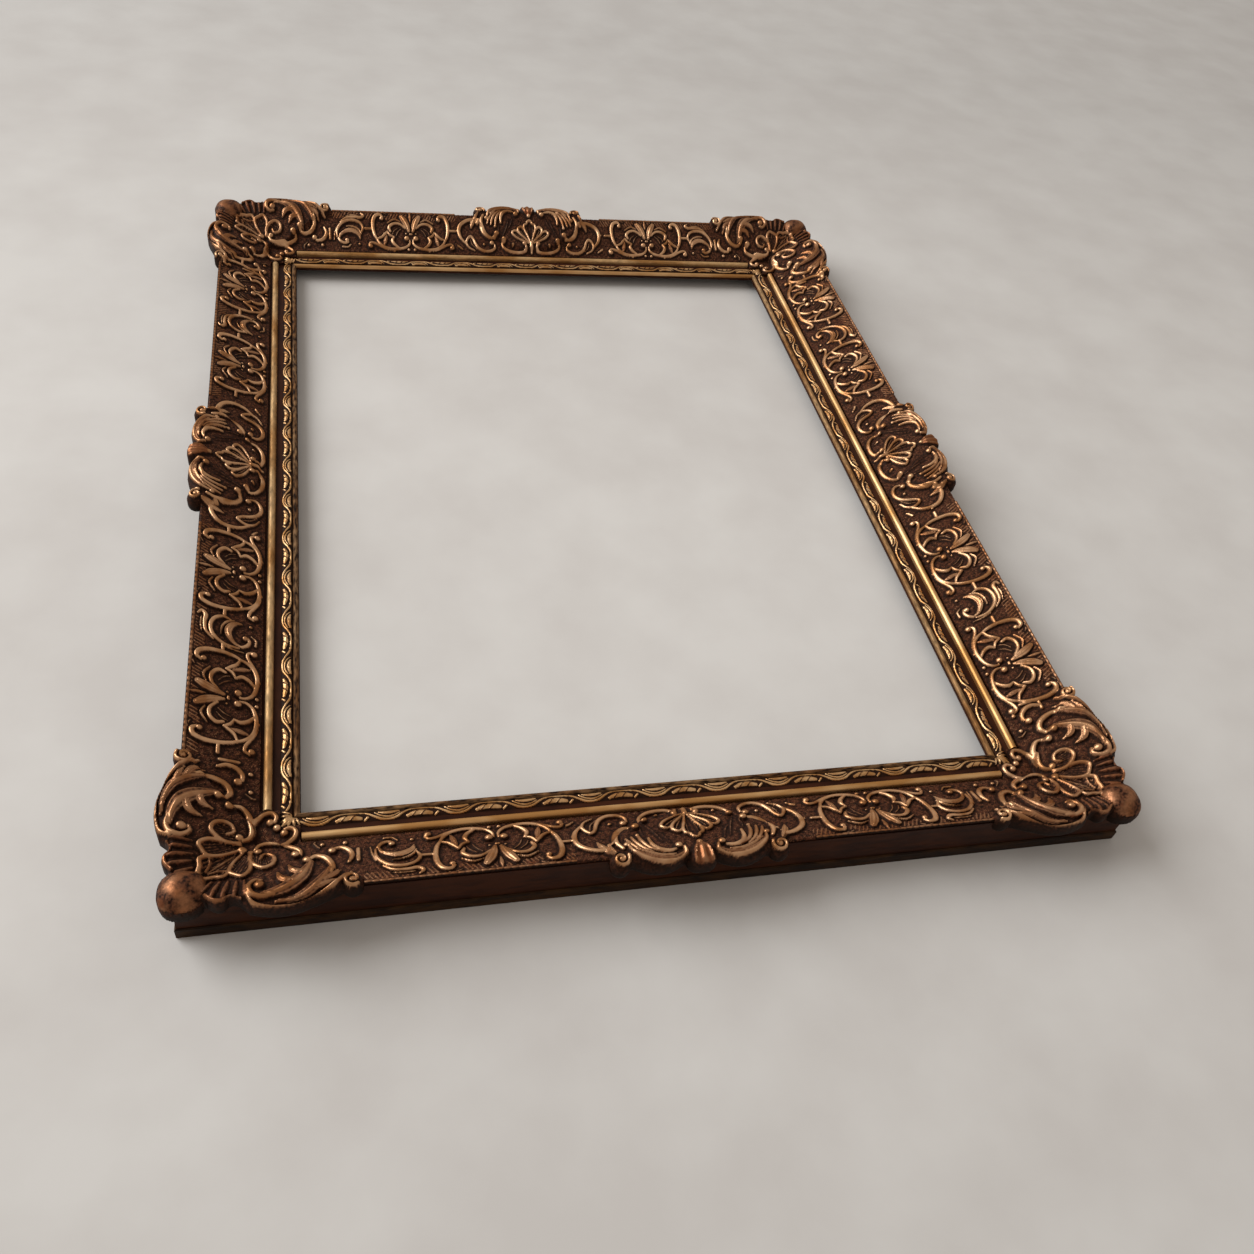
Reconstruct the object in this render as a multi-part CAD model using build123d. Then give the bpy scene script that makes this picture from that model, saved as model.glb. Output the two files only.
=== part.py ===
# Ornate gilded picture frame, lying face up: four mitred mouldings on a plain back frame,
# with cast ornament strips, corner and centre ornaments, gilded bands, and back fittings.
#
# Millimetres. X runs along the short sides, Y along the long sides, Z is up.
# The origin is the centre of the frame on the plane that it lies on.
#
# A side is drawn in its own frame first: x along the side, y minus the distance outward
# from the sight edge, z up. place_side turns and moves it to the near, right, far or left
# side. A corner is drawn at the near right corner, with the sight corner at zero.
from build123d import *
import os
from math import atan2, cos, radians, sin

# Picture that the frame takes, and the play it has in the rebate
picture_width = 457.2
picture_height = 609.6
picture_side_play = 1.0
picture_end_play = 2.0
rebate_width = 7.1
sight_width = picture_width + 2 * picture_side_play - 2 * rebate_width
sight_height = picture_height + 2 * picture_end_play - 2 * rebate_width

# Back frame: a flat rail with a foot along its outer edge, which leaves a relief for fittings
back_thickness = 8.3
relief_depth = 4.5
foot_width = 15.6
foot_proud = 1.1
foot_chamfer = 0.7

# Moulding: a thin lip over the rebate, which is cut a little way into the wood, a second
# step under the gilded fillet, and a slope up to the crest
moulding_width = 64.5
lip_thickness = 1.9
rebate_cut = 0.3
fillet_step = 2.6
crest_seat_height = 32.6
strip_setback = 0.7

# Gilded trims on the moulding, from the sight edge outward
bead_inset = 0.4
bead_width = 3.6
bead_height = 2.7
bead_shoulder = 1.0
band_gap = 0.6
band_width = 6.6
band_side_height = 2.3
band_height = 3.3
cove_width = 4.6
fillet_width = 4.8
fillet_shoulder = 1.5
fillet_height = 3.9
fillet_end_gap = 0.8
field_gap = 1.9

# Cast ornament: ground thickness, raised work, and what overhangs the crest
strip_thickness = 2.2
relief_height = 2.4
relief_sink = 0.5
cartouche_lift = 3.0
overhang_reach = 11.5
overhang_top_drop = 1.6
overhang_depth = 7.5
corner_arm = 34.0
centre_half = 72.0
corner_tip_rise = 4.4
knob_radius = 12.5
knob_outward = 58.5
knob_height = 30.0
volute_radius = 6.2
volute_eye_radius = 2.8
volute_eye_rise = 1.4

# Scroll units on the strips
unit_half = 37.0
link_length = 5.0
link_width = 3.0
crescent_half = 13.5
scroll_width = 2.6
scroll_ball_radius = 2.5
leaf_width = 5.0
vein_width = 1.6

# V nails across the mitres
nail_leg = 7.0
nail_thickness = 0.6
nail_height = 9.0
nail_punch = 0.3
moulding_nail_places = (34.0, 50.0)
foot_nail_height = 6.5

# Screws through the back frame into the moulding
frame_screw_radius = 1.5
frame_screw_head_radius = 3.0
frame_screw_length = 9.5
frame_screw_outward = 40.0
long_side_screw_share = (-0.62, 0.0, 0.62)
short_side_screw_share = (-0.55, 0.55)

# Turn buttons that hold the picture in
button_reach = 10.5
button_tail = 4.0
button_width = 8.0
button_thickness = 1.0
button_gap = 0.15
button_outward = 5.9
button_screw_radius = 1.4
button_screw_head_radius = 3.2
button_screw_head_height = 1.4
button_screw_length = 9.0
running_clearance = 0.08
wood_clearance = 0.02
long_side_button_place = 150.0
slot_width = 0.7
slot_depth = 0.5

# Strap hangers with D rings
hanger_width = 12.0
hanger_thickness = 1.0
hanger_length = 27.0
hanger_outward = 28.5
hanger_bar_place = 116.0
hanger_screw_pitch = 12.0
hanger_screw_inset = 6.0
hanger_screw_radius = 1.5
hanger_screw_head_radius = 2.9
hanger_screw_head_height = 1.2
hanger_screw_length = 9.0
ring_wire_radius = 1.0
ring_clearance = 0.1
ring_half_width = 9.0
ring_leg = 5.0
ring_bend = 2.0

# One overrun serves all cuts, and every mitre is at this angle
overrun = 1.0
mitre_angle = 45

# Heights and places that follow
picture_seat_height = back_thickness + rebate_cut
seat_height = picture_seat_height + lip_thickness
fillet_seat_height = seat_height + fillet_step
bead_outer = bead_inset + bead_width
band_inner = bead_outer + band_gap
band_outer = band_inner + band_width
fillet_inner = band_outer + cove_width
fillet_outer = fillet_inner + fillet_width
field_inner = fillet_outer + field_gap
crest_outer = moulding_width - strip_setback
foot_outer = moulding_width + foot_proud
foot_inner = foot_outer - foot_width
slope_share = (crest_seat_height - fillet_seat_height) / (crest_outer - field_inner)
slope_angle = atan2(crest_seat_height - fillet_seat_height, crest_outer - field_inner)
ground_rise = strip_thickness / cos(slope_angle)
moulding_top = fillet_seat_height + (moulding_width - field_inner) * slope_share
field_width = (crest_outer - field_inner) / cos(slope_angle)
overhang_outer = moulding_width + overhang_reach
lift_rise = cartouche_lift / cos(slope_angle)
relief_rise = relief_height / cos(slope_angle)
tallest = knob_height + knob_radius + overrun

side_turn = {"near": 0, "right": 90, "far": 180, "left": 270}
side_half = {
    "near": sight_width / 2,
    "right": sight_height / 2,
    "far": sight_width / 2,
    "left": sight_height / 2,
}
side_offset = {
    "near": sight_height / 2,
    "right": sight_width / 2,
    "far": sight_height / 2,
    "left": sight_width / 2,
}
corner_turn = {"near_right": 0, "far_right": 90, "far_left": 180, "near_left": 270}
corner_sign = {
    "near_right": (1, -1),
    "far_right": (1, 1),
    "far_left": (-1, 1),
    "near_left": (-1, -1),
}


# Helpers for places and sections


def place_side(side, thing):
    """Turn a piece drawn in the side frame to its side of the picture frame."""
    return Rot(0, 0, side_turn[side]) * Pos(0, -side_offset[side], 0) * thing


def place_corner(corner, thing):
    """Turn a piece drawn at the near right corner to its own corner."""
    sign_x, sign_y = corner_sign[corner]
    corner_point = Pos(sign_x * sight_width / 2, sign_y * sight_height / 2, 0)
    return corner_point * Rot(0, 0, corner_turn[corner]) * thing


def section_point(outward, height):
    """A point of a section: distance out from the sight edge, and height."""
    return (0, -outward, height)


def section(points):
    """A straight-sided section face in the plane across the side."""
    outline = Polyline(*[section_point(*point) for point in points], close=True)
    return make_face(outline)


def domed_section(inner, outer, low, shoulder, top):
    """A section with upright edges and a round top."""
    walls = Polyline(
        section_point(inner, shoulder),
        section_point(inner, low),
        section_point(outer, low),
        section_point(outer, shoulder),
    )
    dome = ThreePointArc(
        section_point(outer, shoulder),
        section_point((inner + outer) / 2, top),
        section_point(inner, shoulder),
    )
    return make_face([walls, dome])


def ground_height(outward):
    """Height of the ornament's ground over the moulding's slope."""
    return fillet_seat_height + (outward - field_inner) * slope_share + ground_rise


def seat_slope_height(outward):
    """Height of the moulding's own slope, which the ornament lies on."""
    return fillet_seat_height + (outward - field_inner) * slope_share


def mitre_prism(half, outer):
    """A prism whose two ends are the mitre planes of a side."""
    plan = Polyline(
        (-(half - overrun), overrun),
        (half - overrun, overrun),
        (half + outer, -outer),
        (-(half + outer), -outer),
        close=True,
    )
    return extrude(make_face(plan), amount=tallest)


def mitred_bar(face, half, outer):
    """A section run along a side and cut at both mitres."""
    run = extrude(face, amount=half + outer, dir=(1, 0, 0), both=True)
    return run & mitre_prism(half, outer)


def straight_bar(face, low, high):
    """A section run from x = low to x = high with square ends."""
    return Pos(low, 0, 0) * extrude(face, amount=high - low, dir=(1, 0, 0))


# Sections of the rails and trims


def moulding_section():
    return section(
        [
            (rebate_width, back_thickness),
            (rebate_width, picture_seat_height),
            (0, picture_seat_height),
            (0, seat_height),
            (band_outer, seat_height),
            (band_outer, fillet_seat_height),
            (field_inner, fillet_seat_height),
            (moulding_width, moulding_top),
            (moulding_width, back_thickness),
        ]
    )


def back_section():
    return section(
        [
            (rebate_width, relief_depth),
            (rebate_width, back_thickness),
            (foot_outer - foot_chamfer, back_thickness),
            (foot_outer, back_thickness - foot_chamfer),
            (foot_outer, 0),
            (foot_inner, 0),
            (foot_inner, relief_depth),
        ]
    )


def bead_section():
    low = seat_height
    return domed_section(bead_inset, bead_outer, low, low + bead_shoulder, low + bead_height)


def band_section():
    low = seat_height
    return domed_section(band_inner, band_outer, low, low + band_side_height, low + band_height)


def fillet_section():
    low = fillet_seat_height
    return domed_section(fillet_inner, fillet_outer, low, low + fillet_shoulder, low + fillet_height)


def ground_section():
    return section(
        [
            (field_inner, fillet_seat_height),
            (field_inner, ground_height(field_inner)),
            (crest_outer, ground_height(crest_outer)),
            (crest_outer, seat_slope_height(crest_outer)),
        ]
    )


def cartouche_section():
    """Thicker cast work that lies on the slope and hangs over the crest."""
    return section(
        [
            (field_inner, fillet_seat_height),
            (field_inner, ground_height(field_inner) + lift_rise),
            (crest_outer, ground_height(crest_outer) + lift_rise),
            (overhang_outer, ground_height(crest_outer) + lift_rise - overhang_top_drop),
            (overhang_outer, moulding_top - overhang_depth),
            (moulding_width, moulding_top - overhang_depth),
            (moulding_width, moulding_top),
        ]
    )


# Raised work on the slope. Its plane has x against the side's x, and y up the slope.


def slope_plane(rise):
    """The ornament's ground plane, raised square to itself; zero is at the field's inner edge."""
    normal = (0, sin(slope_angle), cos(slope_angle))
    start = (0, -field_inner + rise * normal[1], ground_height(field_inner) + rise * normal[2])
    return Plane(origin=start, x_dir=(-1, 0, 0), z_dir=normal)


def raise_work(sketch, rise, height):
    """Raise a flat sketch from the slope; it starts a little way inside the ground."""
    return extrude(slope_plane(rise - relief_sink) * sketch, amount=height + relief_sink)


def scaled(points, length, width, flip):
    """Shares of a unit turned into places on the slope; flip mirrors along the side."""
    return [(-flip * along * length, across * width) for along, across in points]


def curl(points, length, width, flip, line_width, ball_radius):
    """One scroll stroke: arcs through each three points, with a ball at its first point."""
    places = scaled(points, length, width, flip)
    strokes = []
    for first in range(0, len(places) - 2, 2):
        arc = ThreePointArc(places[first], places[first + 1], places[first + 2])
        strokes.append(trace(arc, line_width))
    sketch = strokes[0]
    for stroke in strokes[1:]:
        sketch = sketch + stroke
    for joint in places[2:-1:2]:
        sketch = sketch + Pos(*joint) * Circle(line_width / 2)
    sketch = sketch + Pos(*places[-1]) * Circle(line_width / 2)
    return sketch + Pos(*places[0]) * Circle(ball_radius)


def curls(table, length, width, flip):
    """Several strokes from a table of (points, kind)."""
    return [curl(points, length, width, flip, *kind) for points, kind in table]


# Kinds of stroke: line width, and radius of the round at its first point
scroll = (scroll_width, scroll_ball_radius)
plain_scroll = (scroll_width, scroll_width / 2)
thick_scroll = (leaf_width, scroll_ball_radius)
leaf = (leaf_width, leaf_width / 2)
vein = (vein_width, vein_width)

# Strokes of one half of the large scroll unit, as shares of its half length and the field
large_unit_shares = [
    (((0.13, 0.31), (0.06, 0.16), (0.34, 0.09), (0.52, 0.13), (0.56, 0.32)), scroll),
    (((1.06, 0.12), (0.98, 0.19), (0.86, 0.14), (0.55, 0.05), (0.20, 0.06)), scroll),
    (((0.40, 0.07), (0.80, 0.10), (0.88, 0.26), (0.80, 0.36), (0.68, 0.44)), plain_scroll),
    (((0.72, 0.81), (0.84, 0.88), (0.94, 0.72), (0.96, 0.50), (0.88, 0.26)), scroll),
    (((0.08, 0.50), (0.10, 0.66), (0.19, 0.82)), thick_scroll),
    (((0.46, 0.48), (0.47, 0.60), (0.34, 0.60), (0.20, 0.57), (0.12, 0.50)), vein),
    (((0.60, 0.62), (0.44, 0.72), (0.14, 0.54)), vein),
]

# Strokes of the crescent unit, as shares of its half length and the field
crescent_shares = [
    (((-0.30, 0.24), (-0.74, 0.28), (-0.86, 0.42), (-0.62, 0.72), (0.10, 0.78)), scroll),
    (((0.10, 0.78), (0.70, 0.74), (0.86, 0.48)), plain_scroll),
    (((0.62, 0.32), (0.50, 0.56), (-0.10, 0.58), (-0.55, 0.52), (-0.66, 0.38)), leaf),
    (((0.95, 0.93), (0.80, 0.88), (-0.30, 0.88)), vein),
]

# Strokes of one half of the centre ornament, as shares of its half length and the field
centre_shares = [
    (((0.08, 0.24), (0.09, 0.08), (0.20, 0.05), (0.36, 0.10), (0.38, 0.30)), scroll),
    (((0.54, 0.30), (0.49, 0.14), (0.60, 0.07), (0.72, 0.12), (0.80, 0.44)), scroll),
    (((0.70, 0.78), (0.84, 0.84), (0.94, 0.66), (0.96, 0.44), (0.84, 0.18)), scroll),
]
centre_raised_shares = [
    (((0.44, 0.48), (0.56, 0.42), (0.64, 0.56), (0.66, 0.74), (0.58, 0.88)), scroll),
    (((0.16, 0.72), (0.06, 0.84), (0.14, 0.96), (0.28, 1.05), (0.50, 0.94)), scroll),
    (((0.02, 0.26), (0.10, 0.62), (0.00, 0.80)), vein),
    (((0.05, 0.26), (0.26, 0.40), (0.22, 0.56), (0.15, 0.60), (0.08, 0.34)), vein),
    (((0.40, 0.94), (0.44, 0.80), (0.38, 0.64)), leaf),
]

# Strokes of one arm of a corner ornament: place along the side past the sight corner, as
# shares of the crest's distance, and place up the slope, as shares of the field
corner_shares = [
    (((0.03, 0.35), (0.00, 0.20), (0.14, 0.10), (0.28, 0.06), (0.37, 0.16)), scroll),
    (((-0.06, 0.46), (-0.14, 0.38), (-0.24, 0.44), (-0.29, 0.56), (-0.28, 0.70)), scroll),
    (((-0.27, 0.28), (-0.34, 0.24), (-0.42, 0.34), (-0.43, 0.46), (-0.38, 0.56)), scroll),
]
corner_raised_shares = [
    (((0.29, 0.98), (0.22, 0.80), (0.06, 0.72), (-0.02, 0.70), (-0.07, 0.76)), thick_scroll),
    (((0.34, 1.02), (0.20, 1.16), (0.00, 1.12), (-0.16, 1.02), (-0.34, 0.86)), leaf),
    (((0.38, 0.24), (0.24, 0.36), (0.28, 0.54), (0.40, 0.56), (0.42, 0.30)), vein),
    (((0.46, 0.32), (0.40, 0.52), (0.50, 0.68), (0.58, 0.70), (0.62, 0.62)), vein),
]

# Plan outlines of the overhanging work: shares of the centre's half length along the side,
# and of the crest's distance outward. Each stretch is an arc through three points.
centre_outline_shares = [
    ((0.00, 1.18), (0.09, 1.16), (0.13, 1.08)),
    ((0.13, 1.08), (0.34, 1.16), (0.55, 1.08)),
    ((0.55, 1.08), (0.68, 1.04), (0.76, 0.92)),
    ((0.76, 0.92), (0.62, 0.70), (0.52, 0.62)),
    ((0.52, 0.62), (0.26, 0.46), (0.00, 0.40)),
]
centre_volute_share = (0.66, 1.05)
corner_outline_shares = [
    ((0.88, 0.88), (0.81, 1.01), (0.73, 1.03)),
    ((0.73, 1.03), (0.63, 1.09), (0.55, 1.04)),
    ((0.55, 1.04), (0.48, 1.05), (0.40, 1.13)),
    ((0.40, 1.13), (0.14, 1.18), (-0.10, 1.13)),
    ((-0.10, 1.13), (-0.24, 1.08), (-0.37, 1.02)),
    ((-0.37, 1.02), (-0.40, 0.90), (-0.30, 0.80)),
    ((-0.30, 0.80), (-0.10, 0.64), (0.06, 0.50)),
    ((0.06, 0.50), (0.20, 0.38), (0.36, 0.36)),
]
corner_volute_share = (-0.44, 0.97)


def large_unit(middle):
    """The large scroll unit: two mirrored halves about its middle."""
    halves = curls(large_unit_shares, unit_half, field_width, 1)
    halves += curls(large_unit_shares, unit_half, field_width, -1)
    return [Pos(-middle, 0) * sketch for sketch in halves]


def crescent_unit(middle, flip):
    """The crescent unit; flip turns its hooked line toward the centre ornament."""
    sketches = curls(crescent_shares, crescent_half, field_width, flip)
    return [Pos(-middle, 0) * sketch for sketch in sketches]


def link_bar(middle):
    """The small bar that joins two units."""
    return Pos(-middle, field_width / 2) * Rectangle(link_length + 2 * relief_sink, link_width)


def strip_layout(side):
    """Middles of the units on one strip, from the centre ornament to the corner."""
    start = centre_half
    stop = side_half[side] - corner_arm
    small = crescent_half
    if side in ("near", "far"):
        large_middles = [start + link_length + unit_half]
        crescent_middles = [stop - link_length - small]
        links = [start + link_length / 2, stop - link_length / 2]
        links.append((large_middles[0] + unit_half + crescent_middles[0] - small) / 2)
        return start, stop, large_middles, crescent_middles, links
    middle = (start + stop) / 2
    large_middles = [start + link_length + unit_half, stop - link_length - unit_half]
    links = [start + link_length / 2, stop - link_length / 2]
    links.append((large_middles[0] + unit_half + middle - small) / 2)
    links.append((large_middles[1] - unit_half + middle + small) / 2)
    return start, stop, large_middles, [middle], links


def ornament_strip(side, direction):
    """The cast strip between the centre and a corner; direction is 1 toward plus x."""
    start, stop, large_middles, crescent_middles, links = strip_layout(side)
    low, high = sorted((direction * start, direction * stop))
    sketches = []
    for middle in large_middles:
        sketches += large_unit(direction * middle)
    for middle in crescent_middles:
        sketches += crescent_unit(direction * middle, -direction)
    for middle in links:
        sketches.append(link_bar(direction * middle))
    raised = [raise_work(sketch, 0, relief_height) for sketch in sketches]
    limits = straight_bar(section(strip_limits()), low, high)
    body = straight_bar(ground_section(), low, high)
    return (body + raised) & limits


def strip_limits():
    """Section that the strip's raised work is trimmed to."""
    top = ground_height(crest_outer) + relief_height + overrun
    return [
        (field_inner, fillet_seat_height),
        (field_inner, top),
        (crest_outer, top),
        (crest_outer, seat_slope_height(crest_outer)),
    ]


def plan_arcs(table, length, outward, flip):
    """Arcs of a plan outline, as shares of a length along the side and one outward."""
    arcs = []
    for stretch in table:
        points = [(flip * along * length, -across * outward) for along, across in stretch]
        arcs.append(ThreePointArc(*points))
    return arcs


def centre_outline():
    """Closed plan outline of the centre ornament."""
    right = plan_arcs(centre_outline_shares, centre_half, crest_outer, 1)
    left = plan_arcs(centre_outline_shares, centre_half, crest_outer, -1)
    return make_face(right + left)


def volute(centre):
    """A scroll end that stands past the crest: a drum with a round eye."""
    low = moulding_top - overhang_depth
    top = ground_height(crest_outer) + lift_rise
    drum = Pos(centre[0], centre[1], low) * extrude(Circle(volute_radius), amount=top - low)
    eye_start = Pos(centre[0], centre[1], top - relief_sink)
    eye = eye_start * extrude(Circle(volute_eye_radius), amount=volute_eye_rise + relief_sink)
    return drum + eye


def cartouche_solid(outline, half_length):
    """The thick cast work inside a plan outline."""
    bar = straight_bar(cartouche_section(), -half_length, half_length)
    return bar & extrude(outline, amount=tallest)


def centre_ornament():
    """The ornament at the middle of a side."""
    body = straight_bar(ground_section(), -centre_half, centre_half)
    body = body + cartouche_solid(centre_outline(), centre_half)
    low_work = curls(centre_shares, centre_half, field_width, 1)
    low_work += curls(centre_shares, centre_half, field_width, -1)
    high_work = curls(centre_raised_shares, centre_half, field_width, 1)
    high_work += curls(centre_raised_shares, centre_half, field_width, -1)
    along, across = centre_volute_share
    for flip in (1, -1):
        body = body + volute((flip * along * centre_half, -across * crest_outer))
    raised = [raise_work(sketch, 0, relief_height) for sketch in low_work]
    raised += [raise_work(sketch, cartouche_lift, relief_height) for sketch in high_work]
    limits = straight_bar(section(cartouche_limits()), -centre_half, centre_half)
    return ((body + raised) & limits) - straight_bar(moulding_section(), -centre_half, centre_half)


def cartouche_limits():
    """Section that holds everything on the slope and past the crest."""
    crest_top = ground_height(crest_outer) + lift_rise + relief_rise
    return [
        (band_outer, fillet_seat_height),
        (band_outer, crest_top),
        (crest_outer, crest_top),
        (overhang_outer + overrun, crest_top - overhang_top_drop),
        (overhang_outer + overrun, moulding_top - overhang_depth),
        (moulding_width, moulding_top - overhang_depth),
        (moulding_width, moulding_top),
        (field_inner, fillet_seat_height),
    ]


# Corner ornaments


def corner_wedge():
    """Plan of one arm: from its end to the mitre."""
    plan = Polyline(
        (-corner_arm, 0),
        (0, 0),
        (overhang_outer + overrun, -(overhang_outer + overrun)),
        (-corner_arm, -(overhang_outer + overrun)),
        close=True,
    )
    return extrude(make_face(plan), amount=tallest)


def corner_outline():
    """Plan outline of one arm's thick work, closed along the mitre."""
    arcs = plan_arcs(corner_outline_shares, crest_outer, crest_outer, 1)
    first = corner_outline_shares[0][0]
    last = corner_outline_shares[-1][-1]
    closing = Line(
        (last[0] * crest_outer, -last[1] * crest_outer),
        (first[0] * crest_outer, -first[1] * crest_outer),
    )
    return make_face(arcs + [closing])


def corner_tip():
    """The corner ornament's inner tip, which covers the ends of two fillets."""
    face = section(
        [
            (band_outer, fillet_seat_height),
            (band_outer, fillet_seat_height + corner_tip_rise),
            (field_inner, ground_height(field_inner) + lift_rise),
            (field_inner, fillet_seat_height),
        ]
    )
    return straight_bar(face, 0, field_inner)


def corner_arm_solid():
    """One arm of the corner ornament, up to the mitre."""
    reach = overhang_outer + overrun
    body = straight_bar(ground_section(), -corner_arm, reach)
    body = body + corner_tip()
    thick = straight_bar(cartouche_section(), -corner_arm, reach)
    body = body + (thick & extrude(corner_outline(), amount=tallest))
    along, across = corner_volute_share
    body = body + volute((along * crest_outer, -across * crest_outer))
    low_work = curls(corner_shares, crest_outer, field_width, 1)
    high_work = curls(corner_raised_shares, crest_outer, field_width, 1)
    raised = [raise_work(sketch, 0, relief_height) for sketch in low_work]
    raised += [raise_work(sketch, cartouche_lift, relief_height) for sketch in high_work]
    limits = straight_bar(section(cartouche_limits()), -corner_arm, reach)
    return (body + raised) & limits & corner_wedge()


def corner_ornament():
    """Two mirrored arms and the knob at the outer tip."""
    arm = corner_arm_solid()
    mitre = Plane(origin=(0, 0, 0), x_dir=(0, 0, 1), z_dir=(1, 1, 0))
    knob = Pos(knob_outward, -knob_outward, knob_height) * Sphere(knob_radius)
    low = moulding_top - overhang_depth
    floor_box = Pos(knob_outward, -knob_outward, low) * Box(
        4 * knob_radius,
        4 * knob_radius,
        4 * knob_radius,
        align=(Align.CENTER, Align.CENTER, Align.MAX),
    )
    whole = arm + mirror(arm, about=mitre) + (knob - floor_box)
    wood = straight_bar(moulding_section(), -corner_arm, 2 * overhang_outer) & corner_wedge()
    return whole - wood - mirror(wood, about=mitre)


# Fasteners


def v_nail(place, low, height):
    """A V shaped strip driven across a mitre; place is its distance out along both sides."""
    start = Pos(place, -place, low) * Rot(0, 0, -mitre_angle)
    reach = nail_leg * sin(radians(mitre_angle))
    near_leg = Line((0, -reach), (reach, 0))
    far_leg = Line((0, reach), (reach, 0))
    plan = trace(near_leg, nail_thickness) + trace(far_leg, nail_thickness)
    plan = plan + Pos(reach, 0) * Circle(nail_thickness / 2)
    return start * extrude(plan, amount=height)


def corner_nails():
    """All nails of one corner, at the near right corner's place."""
    nails = [v_nail(place, back_thickness, nail_height) for place in moulding_nail_places]
    nails.append(v_nail(foot_outer - foot_width / 2, nail_punch, foot_nail_height))
    return nails


def screw(radius, length, head_radius, head_height, seat, clearance):
    """A screw pointing up from a seat; its head hangs below. Clearance widens the shank."""
    shank = Pos(0, 0, seat) * Cylinder(
        radius + clearance, length, align=(Align.CENTER, Align.CENTER, Align.MIN)
    )
    head = Pos(0, 0, seat) * Cylinder(
        head_radius, head_height, align=(Align.CENTER, Align.CENTER, Align.MAX)
    )
    rim = head.edges().group_by(Axis.Z)[0]
    head = chamfer(rim, length=head_height / 3)
    slot = Pos(0, 0, seat - head_height) * Box(2 * head_radius, slot_width, 2 * slot_depth)
    return shank + (head - slot)


def frame_screw(clearance):
    """A countersunk screw whose head lies flush in the relief."""
    drop = frame_screw_head_radius - frame_screw_radius
    cone = Pos(0, 0, relief_depth) * Cone(
        frame_screw_head_radius + clearance,
        frame_screw_radius + clearance,
        drop,
        align=(Align.CENTER, Align.CENTER, Align.MIN),
    )
    shank = Pos(0, 0, relief_depth + drop) * Cylinder(
        frame_screw_radius + clearance,
        frame_screw_length - drop + clearance,
        align=(Align.CENTER, Align.CENTER, Align.MIN),
    )
    return cone + shank


def frame_screw_spots(side):
    """Places along a side for the screws that hold its back rail."""
    shares = long_side_screw_share
    if side in ("near", "far"):
        shares = short_side_screw_share
    return [share * side_half[side] for share in shares]


def button_spots(side):
    """Places along a side for its turn buttons."""
    if side in ("near", "far"):
        return [0]
    return [-long_side_button_place, long_side_button_place]


def hanger_spots(side):
    """The hanger's place along a side, counted toward the far end."""
    if side == "right":
        return [(hanger_bar_place, 1)]
    if side == "left":
        return [(-hanger_bar_place, -1)]
    return []


def hanger_screw_places():
    """Distances of a strap's screws from the ring's bar."""
    last = hanger_length - hanger_screw_inset
    return [last - hanger_screw_pitch, last]


# Turn buttons


button_seat = relief_depth - button_gap - button_thickness - button_gap


def button_screw(clearance):
    """Screw that a button turns on, with its head just below the button."""
    return screw(
        button_screw_radius,
        button_screw_length,
        button_screw_head_radius,
        button_screw_head_height,
        button_seat,
        clearance,
    )


def turn_button():
    """A flat button with round ends and a hole near one end, lying along the side."""
    radius = button_width / 2
    tail = Circle(radius)
    tip = Pos(button_reach - radius, 0) * Circle(radius)
    middle = Pos((button_reach - radius) / 2, 0) * Rectangle(button_reach - radius, button_width)
    plan = tail + tip + middle - Circle(button_screw_radius + running_clearance)
    low = relief_depth - button_gap - button_thickness
    return Pos(0, 0, low) * extrude(plan, amount=button_thickness)


# Strap hangers


barrel_radius = ring_wire_radius + ring_clearance + hanger_thickness
bar_height = relief_depth - barrel_radius


def hanger_strap():
    """Strap and rolled end, with the ring's bar along the x axis and the strap toward minus y."""
    strap = Pos(0, 0, relief_depth - hanger_thickness / 2) * Box(
        hanger_width,
        hanger_length,
        hanger_thickness,
        align=(Align.CENTER, Align.MAX, Align.CENTER),
    )
    ends = strap.edges().filter_by(Axis.Z).group_by(Axis.Y)[0]
    strap = fillet(ends, radius=hanger_width / 3)
    barrel = Pos(0, 0, bar_height) * Rot(0, 90, 0) * Cylinder(barrel_radius, hanger_width)
    bore = Pos(0, 0, bar_height) * Rot(0, 90, 0) * Cylinder(
        ring_wire_radius + ring_clearance, hanger_width + 2 * overrun
    )
    strap = strap + barrel - bore
    for place in hanger_screw_places():
        strap = strap - Pos(0, -place, 0) * Cylinder(
            hanger_screw_radius + running_clearance,
            4 * relief_depth,
        )
    return strap


def hanger_ring():
    """D ring: a straight bar in the barrel, two legs and a half round."""
    half = ring_half_width
    outer = ring_leg
    corner = ring_bend * (1 - cos(radians(mitre_angle)))
    path = [
        Line((-half + ring_bend, 0), (half - ring_bend, 0)),
        ThreePointArc((half - ring_bend, 0), (half - corner, corner), (half, ring_bend)),
        Line((half, ring_bend), (half, outer)),
        ThreePointArc((half, outer), (0, outer + half), (-half, outer)),
        Line((-half, outer), (-half, ring_bend)),
        ThreePointArc((-half, ring_bend), (-half + corner, corner), (-half + ring_bend, 0)),
    ]
    wire = Wire(path)
    start = Plane(origin=(-half + ring_bend, 0, 0), z_dir=(1, 0, 0))
    ring = sweep(start * Circle(ring_wire_radius), path=wire)
    return Pos(0, 0, bar_height) * ring


def place_hanger(side, spot, direction, thing):
    """Turn a hanger so that its ring points to the far end of the frame."""
    return place_side(side, Pos(spot, -hanger_outward, 0) * Rot(0, 0, -90 * direction) * thing)


def hanger_screw(clearance):
    """Round head screw through a strap."""
    return screw(
        hanger_screw_radius,
        hanger_screw_length,
        hanger_screw_head_radius,
        hanger_screw_head_height,
        relief_depth - hanger_thickness,
        clearance,
    )


# Everything that is driven into the wood, as the solid and as the hole for it


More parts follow.
